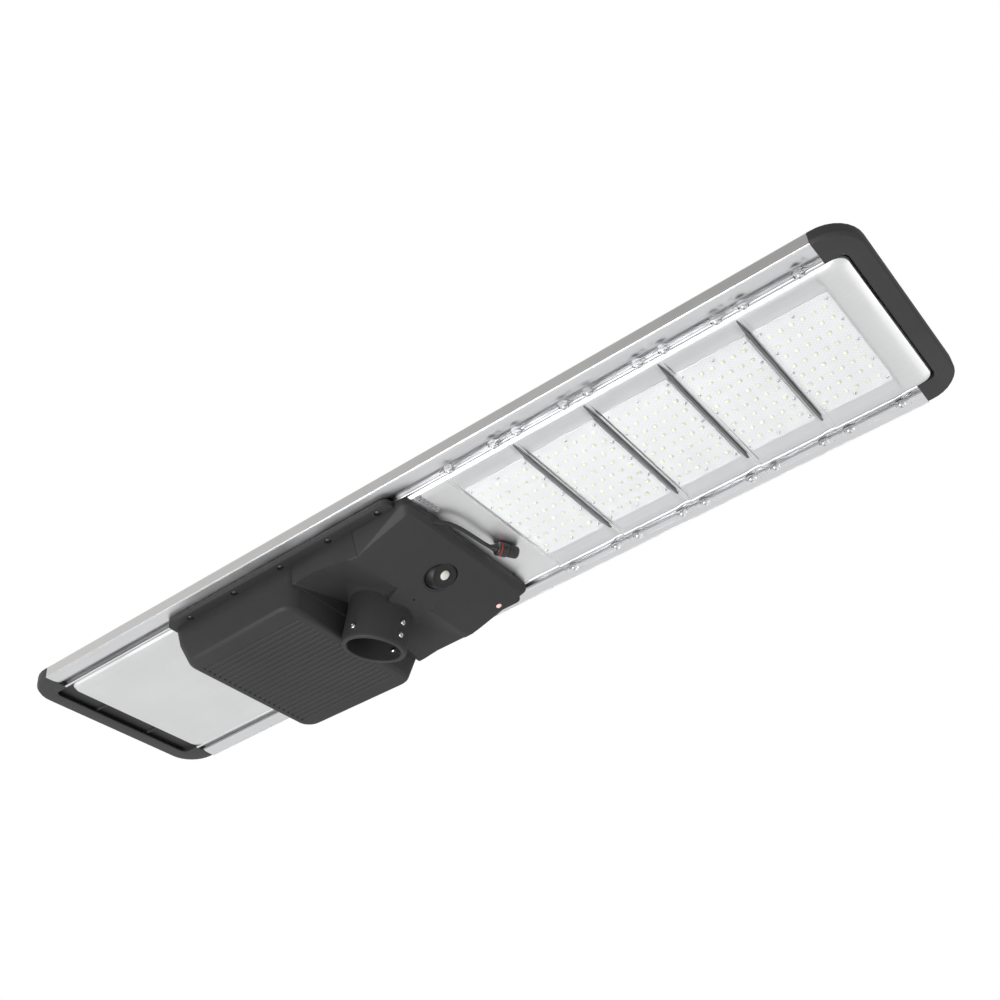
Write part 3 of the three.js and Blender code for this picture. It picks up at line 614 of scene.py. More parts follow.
def grid_tree():
    """Copies of one piece on a grid, and the grid repeated in a line."""
    existing = bpy.data.node_groups.get("Grid of pieces")
    if existing:
        return existing
    tree = bpy.data.node_groups.new("Grid of pieces", "GeometryNodeTree")
    for name, kind in GRID_INPUTS:
        tree.interface.new_socket(name=name, in_out="INPUT", socket_type=kind)
    tree.interface.new_socket(name="Pieces", in_out="OUTPUT", socket_type="NodeSocketGeometry")
    nodes, link = tree.nodes, tree.links.new
    inlet, outlet = nodes.new("NodeGroupInput").outputs, nodes.new("NodeGroupOutput")

    def maths(operation, first, second):
        node = nodes.new("ShaderNodeMath")
        node.operation = operation
        for index, value in enumerate((first, second)):
            if isinstance(value, (int, float)):
                node.inputs[index].default_value = value
            else:
                link(value, node.inputs[index])
        return node.outputs[0]

    line = nodes.new("GeometryNodeMeshLine")
    link(inlet["Groups"], line.inputs["Count"])
    link(inlet["Group step"], line.inputs["Offset"])

    step = nodes.new("ShaderNodeSeparateXYZ")
    link(inlet["Step"], step.inputs[0])
    grid = nodes.new("GeometryNodeMeshLine")
    total = maths("MULTIPLY", inlet["Columns"], inlet["Rows"])
    link(total, grid.inputs["Count"])
    index = nodes.new("GeometryNodeInputIndex").outputs[0]
    column = maths("FLOOR", maths("DIVIDE", index, inlet["Rows"]), 0.0)
    row = maths("SUBTRACT", index, maths("MULTIPLY", column, inlet["Rows"]))
    middle_column = maths("MULTIPLY", maths("SUBTRACT", inlet["Columns"], 1.0), 0.5)
    middle_row = maths("MULTIPLY", maths("SUBTRACT", inlet["Rows"], 1.0), 0.5)
    x = maths("MULTIPLY", maths("SUBTRACT", column, middle_column), step.outputs["X"])
    y = maths("MULTIPLY", maths("SUBTRACT", row, middle_row), step.outputs["Y"])
    place = nodes.new("ShaderNodeCombineXYZ")
    link(x, place.inputs["X"])
    link(y, place.inputs["Y"])
    spot = nodes.new("GeometryNodeSetPosition")
    link(grid.outputs["Mesh"], spot.inputs["Geometry"])
    link(place.outputs[0], spot.inputs["Position"])

    groups = nodes.new("GeometryNodeInstanceOnPoints")
    link(line.outputs["Mesh"], groups.inputs["Points"])
    link(spot.outputs["Geometry"], groups.inputs["Instance"])
    spots = nodes.new("GeometryNodeRealizeInstances")
    link(groups.outputs["Instances"], spots.inputs["Geometry"])

    source = nodes.new("GeometryNodeObjectInfo")
    link(inlet["Piece"], source.inputs["Object"])
    copies = nodes.new("GeometryNodeInstanceOnPoints")
    link(spots.outputs["Geometry"], copies.inputs["Points"])
    link(source.outputs["Geometry"], copies.inputs["Instance"])
    moved = nodes.new("GeometryNodeTransform")
    link(copies.outputs["Instances"], moved.inputs["Geometry"])
    link(inlet["Centre"], moved.inputs["Translation"])
    real = nodes.new("GeometryNodeRealizeInstances")
    link(moved.outputs["Geometry"], real.inputs["Geometry"])
    paint = nodes.new("GeometryNodeSetMaterial")
    link(real.outputs["Geometry"], paint.inputs["Geometry"])
    link(inlet["Finish"], paint.inputs["Material"])
    link(paint.outputs["Geometry"], outlet.inputs["Pieces"])
    return tree


def grid_of(name, source, finish, columns, rows, step, centre, groups=1, group_step=(0, 0, 0)):
    """A grid of copies of a source piece, as one plain mesh; lengths in millimetres."""
    tree = grid_tree()
    piece = bpy.data.objects.new(name, bpy.data.meshes.new(name))
    bpy.context.scene.collection.objects.link(piece)
    modifier = piece.modifiers.new("Grid", "NODES")
    modifier.node_group = tree
    values = {
        "Piece": source,
        "Finish": material(finish),
        "Columns": columns,
        "Rows": rows,
        "Step": [v / 1000 for v in step],
        "Groups": groups,
        "Group step": [v / 1000 for v in group_step],
        "Centre": list(mm(*centre)),
    }
    for item in tree.interface.items_tree:
        if item.item_type == "SOCKET" and item.in_out == "INPUT":
            modifier[item.identifier] = values[item.name]
    apply_modifiers(piece)
    piece.data.name = name
    piece.data.materials.clear()
    piece.data.materials.append(material(finish))
    shade_by_angle(piece.data, 35.0)
    return piece


def source_piece(name, build):
    """A small piece about the origin, in millimetres, for a grid to copy."""
    bm = bmesh.new()
    build(bm)
    bmesh.ops.scale(bm, vec=(0.001,) * 3, verts=bm.verts)
    bmesh.ops.recalc_face_normals(bm, faces=bm.faces)
    mesh = bpy.data.meshes.new(name)
    bm.to_mesh(mesh)
    bm.free()
    piece = bpy.data.objects.new(name, mesh)
    bpy.context.scene.collection.objects.link(piece)
    return piece


def discard(piece):
    """Remove a source shape once it has been used."""
    bpy.data.objects.remove(piece)


def turned_local(bm, profile, segments):
    """Turn a profile given in millimetres about Z, for a shape that is repeated."""
    turned(bm, [(r * 1000, h * 1000) for r, h in profile], Vector(), (0, 0, 1), segments)


def screw_head(radius, height, cross):
    """A domed head that faces down, its cross recess sunk into the dome."""

    def build(bm):
        profile = [(0, 0)]
        profile += [(radius * math.cos(a), -height * math.sin(a)) for a in (0, 0.45, 0.9, 1.25)]
        profile.append((0, -height))
        turned_local(bm, profile, 16)
        arm = radius * cross
        for turn in (0, math.pi / 2):
            spin = Matrix.Rotation(turn + 0.4, 4, "Z")
            bar = Matrix.Diagonal((arm, arm * 0.3, height * 0.12, 1))
            place = spin @ Matrix.Translation((0, 0, -height)) @ bar
            bmesh.ops.create_cube(bm, size=2, matrix=place)

    return build


def flat_block(x, y, z, corner=0.0, steps=2):
    """A thin block with rounded corners, its top at Z = 0 and reaching down to -z."""

    def build(bm):
        plan = rounded_plan(-x / 2, y / 2, x / 2, y / 2, corner or 0.01, steps)
        low = [bm.verts.new((px, py, -z)) for px, py in plan]
        high = [bm.verts.new((px, py, 0)) for px, py in plan]
        bm.faces.new(low)
        bm.faces.new(high)
        for i in range(len(plan)):
            j = (i + 1) % len(plan)
            bm.faces.new((low[i], low[j], high[j], high[i]))

    return build


# ---------------------------------------------------------------- settings


class StageSettings(bpy.types.PropertyGroup):
    """Camera, floor and studio light."""

    lens: bpy.props.FloatProperty(name="Lens", description="Focal length", default=48.84, min=10)
    floor_drop: bpy.props.FloatProperty(
        name="Floor drop", description="How far the floor lies under the sleeve", default=2.4,
        unit="LENGTH",
    )
    fill: bpy.props.FloatProperty(
        name="Fill", description="Strength of the even light", default=1.0
    )
    shade: bpy.props.FloatProperty(
        name="Shade", description="What metal mirrors from above, against white", default=0.34
    )
    even: bpy.props.FloatProperty(
        name="Even", description="Part of the fill that matt surfaces see", default=0.8
    )
    key_power: bpy.props.FloatProperty(
        name="Key light", description="Power of the soft key light", default=58.0, unit="POWER"
    )


class PanelSettings(bpy.types.PropertyGroup):
    """Solar face."""

    cell_columns: bpy.props.IntProperty(name="Cells along", description="Cells in a row", default=9)
    cell_rows: bpy.props.IntProperty(name="Cells across", description="Rows of cells", default=4)
    cell_gap: bpy.props.FloatProperty(
        name="Cell gap", description="Gap between cells, mm", default=2.0
    )


class LightSettings(bpy.types.PropertyGroup):
    """Light modules."""

    led_columns: bpy.props.IntProperty(name="LED columns", description="On each board", default=6)
    led_rows: bpy.props.IntProperty(name="LED rows", description="On each board", default=8)
    led_pitch: bpy.props.FloatVectorProperty(
        name="LED pitch", description="Along and across, mm", size=2, default=(14.8, 22.0)
    )


class HousingSettings(bpy.types.PropertyGroup):
    """Moulded housing."""

    edge: bpy.props.FloatProperty(name="Edge", description="Rounding of its edges, mm", default=2.4)


class LeadSettings(bpy.types.PropertyGroup):
    """Output lead."""

    diameter: bpy.props.FloatProperty(
        name="Diameter", description="Outside of the lead", default=0.0056, unit="LENGTH"
    )


SETTINGS = {
    "lamp_stage": StageSettings,
    "lamp_panel": PanelSettings,
    "lamp_lights": LightSettings,
    "lamp_housing": HousingSettings,
    "lamp_lead": LeadSettings,
}


# ---------------------------------------------------------------- operators


def surround(tree, fill, shade, even):
    """White surroundings, with a grey gradient overhead that only reflections see."""
    background = tree.nodes["Background"]
    background.inputs["Strength"].default_value = fill
    split = tree.nodes.new("ShaderNodeSeparateXYZ")
    tree.links.new(tree.nodes.new("ShaderNodeTexCoord").outputs["Generated"], split.inputs[0])
    overhead = math_node(tree, "MULTIPLY_ADD", split.outputs["Z"], 2.2, True)
    overhead.node.inputs[2].default_value = 0.9
    rearward = math_node(tree, "MULTIPLY_ADD", split.outputs["X"], -1.5, True)
    rearward.node.inputs[2].default_value = -0.35
    lift = math_node(tree, "MULTIPLY_ADD", rearward, 0.45)
    lift.node.inputs[2].default_value = shade
    mirrored = tree.nodes.new("ShaderNodeLightPath").outputs["Is Glossy Ray"]
    mix = tree.nodes.new("ShaderNodeMix")
    mix.data_type = "RGBA"
    mix.inputs[6].default_value = (1, 1, 1, 1)
    tree.links.new(math_node(tree, "MULTIPLY", overhead, mirrored), mix.inputs[0])
    tone = tree.nodes.new("ShaderNodeCombineColor")
    for channel, tint in (("Red", 1.02), ("Green", 1.0), ("Blue", 0.97)):
        tree.links.new(math_node(tree, "MULTIPLY", lift, tint), tone.inputs[channel])
    tree.links.new(tone.outputs[0], mix.inputs[7])
    soft = tree.nodes.new("ShaderNodeMix")
    soft.data_type = "RGBA"
    soft.inputs[7].default_value = (even, even, even, 1)
    tree.links.new(tree.nodes.new("ShaderNodeLightPath").outputs["Is Diffuse Ray"], soft.inputs[0])
    tree.links.new(mix.outputs[2], soft.inputs[6])
    tree.links.new(soft.outputs[2], background.inputs["Color"])


class SetStudio(bpy.types.Operator):
    """Camera, soft lights, pale floor and white surroundings"""

    bl_idname = "street_lamp.studio"
    bl_label = "Studio"

    def execute(self, context):
        scene = context.scene
        settings = scene.lamp_stage
        camera_data = bpy.data.cameras.new("Camera")
        camera_data.lens = settings.lens
        camera_data.sensor_width = 36.0
        camera_data.clip_end = 50.0
        camera = bpy.data.objects.new("Camera", camera_data)
        scene.collection.objects.link(camera)
        right = Vector((0.79962712, 0.59392284, -0.08861222))
        up = Vector((0.42981157, -0.4630239, 0.77515862))
        camera.matrix_world = Matrix.Translation(mm(888.34, -1251.09, -1146.54)) @ Matrix(
            (right, up, right.cross(up))
        ).transposed().to_4x4()
        scene.camera = camera

        world = bpy.data.worlds.new("Studio")
        world.use_nodes = True
        surround(world.node_tree, settings.fill, settings.shade, settings.even)
        scene.world = world
        scene.view_settings.view_transform = "Standard"

        for name, place, power, size in (
            ("Key", (-0.5, -1.9, -1.9), settings.key_power, 1.5),
            ("Rim", (1.9, 1.6, -0.9), settings.key_power * 0.08, 1.2),
        ):
            light = bpy.data.lights.new(name, "AREA")
            light.energy = power
            light.size = size
            lamp = bpy.data.objects.new(name, light)
            scene.collection.objects.link(lamp)
            aim = Vector((0.15, 0, 0.08)) - Vector(place)
            turn = aim.to_track_quat("-Z", "Y").to_matrix().to_4x4()
            lamp.matrix_world = Matrix.Translation(place) @ turn

        bm = bmesh.new()
        bmesh.ops.create_grid(
            bm, x_segments=1, y_segments=1, size=30,
            matrix=Matrix.Translation((0, 0, -settings.floor_drop)),
        )
        mesh = bpy.data.meshes.new("studio_floor")
        bm.to_mesh(mesh)
        bm.free()
        floor = bpy.data.objects.new("studio_floor", mesh)
        finish = Finish("Studio floor", (0.86, 0.86, 0.86), 0.8)
        mesh.materials.append(finish.material)
        scene.collection.objects.link(floor)
        return {"FINISHED"}


class MakeOutputLead(bpy.types.Operator):
    """Output lead with its gland, boot, connector and locking ring"""

    bl_idname = "street_lamp.output_lead"
    bl_label = "Output lead"

    def execute(self, context):
        radius = context.scene.lamp_lead.diameter * 500
        route = smooth_route([Vector(p) for p in LEAD_ROUTE], 4)
        lead = tube_piece("lead_cable", route, radius, "cable_rubber", 16)
        settle(lead, "cable_rubber", LAMP, "output_lead")

        heading = Vector(CABLE_HEADING)
        bm = bmesh.new()
        profile = [(0, -8), (4, -8)] + [(4.0 - 0.03 * i * i, 2.0 + i * 2) for i in range(6)]
        ribs = []
        for radius_mm, along in profile[2:]:
            groove = radius_mm - 0.35
            ribs += [(radius_mm, along - 0.4), (groove, along + 0.3), (groove, along + 1.0)]
        profile = profile[:2] + ribs + [(2.95, 13.0), (0, 13.0)]
        turned(bm, profile, mm(34, -80, -11.5), heading, 28)
        gland = finish_mesh("lead_gland", bm, "cable_rubber", 50)
        settle(gland, "cable_rubber", LAMP, "cable_gland")

        axis = Vector((0.42, 0.9, 0.03)).normalized()
        end = mm(*LEAD_ROUTE[-1])
        bm = bmesh.new()
        boot_profile = [(0, 0.4), (3.1, 0.4)]
        for i in range(5):
            boot_profile += [(3.6 + i * 0.5, 1.2 + i * 1.5), (3.2 + i * 0.5, 1.9 + i * 1.5)]
        boot_profile += [(6, 9), (0, 9)]
        turned(bm, boot_profile, end, axis, 28)
        boot = finish_mesh("connector_boot", bm, "cable_rubber", 50)
        settle(boot, "cable_rubber", LAMP, "plug_boot")

        bm = bmesh.new()
        profile = [(0, 9.3), (7.6, 9.3), (8.8, 9.8), (10.4, 11.5), (10.4, 14), (9.5, 14.4)]
        profile += [
            (9.5, 16), (10.4, 16.4), (10.4, 25), (9.6, 26.6), (8.4, 27.5), (5.4, 27.5), (5.4, 41),
            (0, 41),
        ]
        turned(bm, profile, end, axis, 36)
        body = finish_mesh("connector_body", bm, "plug_plastic", 35)
        settle(body, "plug_plastic", LAMP, "plug_body")

        bm = bmesh.new()
        turned(bm, [(9.55, 14.5), (10.3, 14.5), (10.3, 15.9), (9.55, 15.9)], end, axis, 36)
        turned(bm, [(3.4, 41.05), (5.2, 41.05), (5.2, 42.2), (3.4, 42.2)], end, axis, 36)
        ring = finish_mesh("connector_seals", bm, "seal_ring", 35)
        settle(ring, "seal_ring")

        nut = knurled_nut(end, axis)
        settle(nut, "plug_plastic", "locking_ring", "plug_nut")
        return {"FINISHED"}


def smooth_route(points, extra):
    """Catmull-Rom points through a route, with extra steps between each pair."""
    ends = [points[0] * 2 - points[1], *points, points[-1] * 2 - points[-2]]
    route = []
    for a, b, c, d in zip(ends, ends[1:], ends[2:], ends[3:]):
        for i in range(extra):
            t = i / extra
            route.append(
                ((2 * b) + (c - a) * t + (2 * a - 5 * b + 4 * c - d) * t * t
                 + (3 * b - a - 3 * c + d) * t * t * t) / 2
            )
    return [*route, points[-1]]


def tube_piece(name, route, radius, finish, sides):
    bm = bmesh.new()
    rows = []
    side = Vector((0, 0, 1))
    for i, point in enumerate(route):
        ahead = (route[min(i + 1, len(route) - 1)] - route[max(i - 1, 0)]).normalized()
        side = (side - ahead * side.dot(ahead)).normalized()
        other = ahead.cross(side)
        row = []
        for j in range(sides):
            angle = 2 * math.pi * j / sides
            row.append(point + (side * math.cos(angle) + other * math.sin(angle)) * radius)
        rows.append(row)
    loft_mesh(bm, rows)
    return finish_mesh(name, bm, finish, 40)


def knurled_nut(origin, axis):
    """Locking ring with grip flutes round it."""
    bm = bmesh.new()
    turn = Vector((0, 0, 1)).rotation_difference(axis)
    count = 72
    profile = [(5.9, 28.2), (8.2, 28.2), (9.0, 29.8), (9.0, 41.2), (8.1, 43), (5.9, 43)]
    rows = []
    for index, (radius, height) in enumerate(profile):
        row = []
        for i in range(count):
            angle = 2 * math.pi * i / count
            flute = 0.42 if index in (2, 3) and i % 6 in (0, 1) else 0.0
            reach = radius - flute
            point = Vector((reach * math.cos(angle), reach * math.sin(angle), height))
            row.append(bm.verts.new(origin + turn @ point / 1000))
        rows.append(row)
    for low, high in zip(rows, rows[1:] + rows[:1]):
        for i in range(count):
            j = (i + 1) % count
            bm.faces.new((low[i], low[j], high[j], high[i]))
    return finish_mesh("connector_nut", bm, "plug_plastic", 30)


class MakeRails(bpy.types.Operator):
    """Extruded side rails"""

    bl_idname = "street_lamp.rails"
    bl_label = "Side rails"

    def execute(self, context):
        for side, node in ((-1, "side_rail_near"), (1, "side_rail_far")):
            profile = [
                (175, 0.35), (175, 17.6),
                (174.6, 18), (168.4, 18), (168, 17.6), (168, 13), (135, 13), (135, 0.5),
                (135.5, 0), (138.6, 0), (139, 0.4), (139, 2), (136.6, 2), (136.6, 8),
                (151.4, 8), (151.4, 2.4), (149, 2.4), (149, 1.9), (152, 1.2), (156, 0.55),
                (161, 0.15), (167, 0), (172.7, 0), (172.9, 0.8), (173.6, 0.8), (173.8, 0),
                (174.65, 0),
            ]
            bm = bmesh.new()
            ends = (-RAIL_HALF_LENGTH, RAIL_HALF_LENGTH)
            loft_mesh(bm, [[(x, side * y, z) for y, z in profile] for x in ends])
            name = "rail_" + node.split("_")[-1]
            settle(finish_mesh(name, bm, "rail_aluminium", 20), "rail_aluminium", LAMP, node)
        return {"FINISHED"}


class MakeEndCaps(bpy.types.Operator):
    """Moulded end caps"""

    bl_idname = "street_lamp.end_caps"
    bl_label = "End caps"

    def execute(self, context):
        for node in ("end_cap_front", "end_cap_rear"):
            softened(node, node.replace("end_cap", "cap"), "cap_plastic", 0.9, 3, 25)
        return {"FINISHED"}


class MakeSolarFace(bpy.types.Operator):
    """Glass, cells, ribbons and backsheet of the solar panel"""

    bl_idname = "street_lamp.solar_face"
    bl_label = "Solar face"

    def execute(self, context):
        settings = context.scene.lamp_panel
        low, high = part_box("solar_cell_sheet")
        back = softened("solar_cell_sheet", "panel_backsheet", "backsheet", 0)
        thin = (high.z - low.z) * 0.45
        for vertex in back.data.vertices:
            if vertex.co.z > low.z + 1e-4:
                vertex.co.z -= thin

        along, across = settings.cell_columns, settings.cell_rows
        step_x = 1356.0 / along
        step_y = 318.0 / across
        top = high.z * 1000 - OFFSET_Z
        cell = source_piece(
            "cell_source",
            flat_block(step_x - settings.cell_gap, step_y - settings.cell_gap, 0.25, 4.0, 3),
        )
        cells = grid_of(
            "panel_cells", cell, "solar_cells", along, across, (step_x, step_y, 0),
            (0, 0, top - 0.2),
        )
        discard(cell)
        settle(cells, "solar_cells")
        ribbon = source_piece("ribbon_source", flat_block(1352, 1.4, 0.1))
        ribbons = grid_of(
            "panel_ribbons", ribbon, "busbar_ribbon", 1, 3, (0, step_y / 3, 0),
            (0, -1.5 * step_y, top - 0.08), across, (0, step_y, 0),
        )
        discard(ribbon)
        settle(ribbons, "busbar_ribbon")
        softened("solar_glass", "panel_glass", "panel_glass", 0.5, 2, 30)
        softened("panel_junction_box", "junction_box", "box_plastic", 0.8)
        return {"FINISHED"}


class MakeBackTray(bpy.types.Operator):
    """Pressed tray behind the light modules, and its blank label"""

    bl_idname = "street_lamp.back_tray"
    bl_label = "Back tray"

    def execute(self, context):
        softened("back_tray", "tray", "tray_sheet", 0)
        bm = bmesh.new()
        stations = (
            (-131, -3.6), (-125, -4.0), (-117, -3.2), (-108, -2.0), (-102, -1.1), (-84, -1.1),
        )
        rings = []
        for y, z in stations:
            low, high = z - 0.35, z - 0.15
            rings.append([(41, y, low), (49, y, low), (49, y, high), (41, y, high)])
        loft_mesh(bm, rings)
        label = finish_mesh("tray_label", bm, "label_film", 30)
        settle(label, "label_film")
        return {"FINISHED"}


def cover_piece(name, x):
    """Clear cover: a raised window, sloping ends, a flange and four feet under its screws."""
    rings = [
        [
            (px, py, z)
            for px, py in rounded_plan(x - 50 + inset, half, x + 50 - inset, half, radius, 6)
        ]
        for inset, half, radius, z in (
            (9, 108, 5, -15), (7.2, 110.8, 6, -14.7), (6, 113.2, 6, -13.7), (2, 131, 4, -8.3),
            (1.2, 134, 4, -7.5), (0.3, 151.7, 4, -7.5), (0, 152, 4, -7.2), (0, 152, 4, -5.5),
            (3, 132.2, 3, -5.5), (7.8, 111.2, 4, -12), (10.8, 106.2, 3, -13.2),
        )
    ]
    bm = bmesh.new()
    loft_mesh(bm, rings)
    cover = finish_mesh(name, bm, "clear_cover", 50)
    feet = [
        turned_piece(
            [(0, -6.5), (6.6, -6.5), (7, -6), (7, -0.6), (6.7, -0.3), (0, -0.3)],
            mm(x + along, across, 0), Vector((0, 0, 1)), 32,
        )
        for along in (-36.45, 36.45) for across in (-145.5, 145.5)
    ]
    combine(cover, "UNION", feet)
    shade_by_angle(cover.data, 40)
    return cover


def divider_bar(name, x):
    """Strip between two modules: flat along the boards, tapering off over the tray's crest."""
    stations = (
        (-129, 0.5, -5.4, -4.8), (-122, 1.0, -6.2, -4.7), (-112, 1.5, -6.5, -4.7),
        (-105, 1.7, -6.6, -4.7), (-100, 2.6, -6.6, -4.7), (-96, 2.6, -6.6, -1.4),
        (-90, 1.9, -6.6, -1.4), (96, 1.7, -6.6, -1.4), (99, 1.7, -6.6, -4.7), (104, 1.5, -6.0, -4.7),
    )
    bm = bmesh.new()
    loft_mesh(bm, [
        [(x - half, y, low + 0.4), (x - half + 0.4, y, low), (x + half - 0.4, y, low),
         (x + half, y, low + 0.4), (x + half, y, high), (x - half, y, high)]
        for y, half, low, high in stations
    ])
    return finish_mesh(name, bm, "divider_rubber", 30)


class MakeLightModules(bpy.types.Operator):
    """LED boards with their LEDs and screws, the dividers between them and the clear covers"""

    bl_idname = "street_lamp.light_modules"
    bl_label = "Light modules"

    def execute(self, context):
        settings = context.scene.lamp_lights
        repeat = (-MODULE_PITCH, 0, 0)
        face = BOARD_FACE_Z
        for module in range(1, MODULE_COUNT + 1):
            softened(f"light_board_{module}", f"board_{module}", "led_board", 0.25, 1)
            cover = cover_piece(f"cover_{module}", FIRST_MODULE_X - (module - 1) * MODULE_PITCH)
            settle(cover, "clear_cover", LAMP, f"light_cover_{module}")
        for gap in range(1, MODULE_COUNT):
            divider = divider_bar(f"divider_{gap}", FIRST_MODULE_X - (gap - 0.5) * MODULE_PITCH)
            settle(divider, "divider_rubber", LAMP, f"module_divider_{gap}")

        body = source_piece("led_source", flat_block(6.4, 6.4, 0.8, 0.8, 2))
        bodies = grid_of(
            "led_bodies", body, "led_body", settings.led_columns, settings.led_rows,
            (*settings.led_pitch, 0), (FIRST_MODULE_X, 0, face), MODULE_COUNT, repeat,
        )
        discard(body)
        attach(bodies, LAMP)

        def dome(bm):
            turned_local(bm, [(0, 0), (2.7, 0), (2.3, -0.9), (1.3, -1.5), (0, -1.7)], 12)

        chip = source_piece("phosphor_source", dome)
        chips = grid_of(
            "led_phosphor", chip, "led_phosphor", settings.led_columns, settings.led_rows,
            (*settings.led_pitch, 0), (FIRST_MODULE_X, 0, face - 0.78), MODULE_COUNT, repeat,
        )
        discard(chip)
        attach(chips, LAMP)

        # Fine ribs moulded into each cover's near sloping wall; their opaque frosted white is partly
        # the ribs' own haze and partly painted reflection streaks.
        rib = source_piece("rib_source", flat_block(0.5, 11, 0.5, 0.2, 1))
        ribs = grid_of(
            "cover_ribs", rib, "rib_frost_and_reflection", 24, 1, (3.6, 0, 0), (FIRST_MODULE_X, -101.5, -10.4),
            MODULE_COUNT, repeat,
        )
        discard(rib)
        settle(ribs, "rib_frost_and_reflection")

        head = source_piece("board_screw_source", screw_head(2.4, 1.5, 0.6))
        screws = grid_of(
            "board_screws", head, "screw_steel", 2, 5, (88, 44, 0), (FIRST_MODULE_X, 0, face),
            MODULE_COUNT, repeat,
        )
        settle(screws, "screw_steel")
        ends = grid_of(
            "board_end_screws", head, "screw_steel", 1, 2, (0, 176, 0), (FIRST_MODULE_X, 0, face),
            MODULE_COUNT, repeat,
        )
        settle(ends, "screw_steel")
        discard(head)
        head = source_piece("cover_screw_source", screw_head(4.0, 2.6, 0.55))
        screws = grid_of(
            "cover_screws", head, "screw_steel", 2, 2, (72.9, 291, 0), (FIRST_MODULE_X, 0, -7.5),
            MODULE_COUNT, repeat,
        )
        discard(head)
        settle(screws, "screw_steel")
        return {"FINISHED"}


SLEEVE_AXIS = Vector((math.sin(SLEEVE_TILT), 0, math.cos(SLEEVE_TILT)))
PLATE_NORMAL = Vector((-math.sin(PLATE_TILT), 0, math.cos(PLATE_TILT)))
PLATE_REAR_X, PLATE_FRONT_X, PLATE_HALF = -71.0, 29.0, 129.0
SKIRT_HALF, SKIRT_FRONT_X = 140.0, 34.0
FLANGE_REAR_X, FLANGE_LOW_Z, HOUSING_TOP_Z = -409.0, -10.5, -0.3
BOX_FRONT_X, BOX_LOW_Z, TROUGH_Z = -183.0, -73.0, -43.0
SCREW_REAR_X, SCREW_PITCH, SCREW_Y = -368.0, 89.0, 145.0
SCREWS_A_SIDE = 5
BORE_RADIUS, BORE_DEPTH = 39, 72
SENSOR_X = -20.3
STATUS_X, STATUS_Y = -6.7, 117.9
GUIDE_HOLE_X = -70.5
CLAMP_PLACES = ((-90, 17), (90, 17), (0, 16), (0, 35))


def hull_piece(points, ease=0.0):
    """The convex body round some layout points, its main edges rounded."""
    bm = bmesh.new()
    for point in points:
        bm.verts.new(mm(*point))
    bmesh.ops.convex_hull(bm, input=bm.verts)
    bmesh.ops.delete(bm, geom=[v for v in bm.verts if not v.link_faces], context="VERTS")
    bmesh.ops.dissolve_limit(bm, angle_limit=math.radians(1.0), verts=bm.verts, edges=bm.edges)
    if ease:
        main = [edge for edge in bm.edges if edge.calc_face_angle(0) > math.radians(17)]
        bmesh.ops.bevel(
            bm, geom=main, offset=ease / 1000, segments=3, profile=0.5, affect="EDGES",
            clamp_overlap=True,
        )
    return finish_mesh("housing_part", bm, "housing_plastic")


def turned_piece(profile, origin, axis, segments=48):
    """A round body or cutter: radius and distance along the axis, from the origin."""
    bm = bmesh.new()
    turned(bm, profile, origin, axis, segments)
    return finish_mesh("housing_part", bm, "housing_plastic")


def block_piece(x0, x1, y0, y1, z0, z1):
    """A plain box between layout bounds."""
    return hull_piece([(x, y, z) for x in (x0, x1) for y in (y0, y1) for z in (z0, z1)])


def combine(whole, operation, parts):
    """Join parts to a body or cut them out of it, one at a time."""
    for part in parts:
        modifier = whole.modifiers.new("Combine", "BOOLEAN")
        modifier.operation = operation
        modifier.solver = "MANIFOLD"
        modifier.object = part
        apply_modifiers(whole)
        discard(part)
    finish = whole.data.materials[0]
    whole.data.materials.clear()
    whole.data.materials.append(finish)
    return whole


def plan_at(rear, half_rear, front, half_front, radius, z, inset=0.0):
    """Rounded plan at a height, drawn in by a wall's thickness."""
    plan = rounded_plan(
        rear + inset, half_rear - inset, front - inset, half_front - inset, radius - inset, 8
    )
    return [(x, y, z) for x, y in plan]


def battery_box(inset, ease):
    """Deep rear half of the housing; an inset gives its inside."""
    points = plan_at(-388, 126, BOX_FRONT_X - 4, 131, 20, BOX_LOW_Z + inset, inset)
    points += plan_at(-393, 132, BOX_FRONT_X, 136, 22, BOX_LOW_Z + 4 + inset, inset)
    points += plan_at(-404, 138, BOX_FRONT_X + 11, 139, 16, TROUGH_Z + 5, inset)
    for z in (FLANGE_LOW_Z, 5 if inset else HOUSING_TOP_Z):
        points += plan_at(FLANGE_REAR_X, SKIRT_HALF, -168, SKIRT_HALF, 14, z, inset)
    return hull_piece(points, ease)


def sensor_block(inset, ease):
    """Front half of the housing, under the sloping sensor plate; an inset gives its inside."""
    plan = plan_at(PLATE_REAR_X, PLATE_HALF, PLATE_FRONT_X, PLATE_HALF, 10, 0, inset)
    points = [(x, y, plate_z(x) + inset) for x, y, z in plan]
    for z in (FLANGE_LOW_Z - 2, 5 if inset else HOUSING_TOP_Z):
        points += plan_at(PLATE_REAR_X, SKIRT_HALF, SKIRT_FRONT_X, SKIRT_HALF, 12, z, inset)
    return hull_piece(points, ease)


def saddle(ease):
    """Band that joins the two halves of the housing."""
    rear, front = BOX_FRONT_X + 9, PLATE_REAR_X + 8
    points = []
    for side in (-1, 1):
        points += [(rear, side * 138.5, TROUGH_Z), (front, side * 129.5, plate_z(PLATE_REAR_X) + 2)]
        for z in (FLANGE_LOW_Z - 2, HOUSING_TOP_Z):
            points += [(rear, side * SKIRT_HALF, z), (front, side * SKIRT_HALF, z)]
    return hull_piece(points, ease)


def pocket(side):
    """Faceted pocket beside the sleeve."""
    rim = (
        (BOX_FRONT_X + 11, 146, TROUGH_Z - 3), (-137, 146, TROUGH_Z),
        (PLATE_REAR_X - 1, 146, -49.5), (PLATE_REAR_X - 1, 38, -48.5), (BOX_FRONT_X + 6, 20, -58),
    )
    points = [(x, side * y, z - drop) for x, y, z in rim for drop in (0, 24)]
    points += [(-138, side * 68, -19), (-165, side * 32, -24)]
    return hull_piece(points)


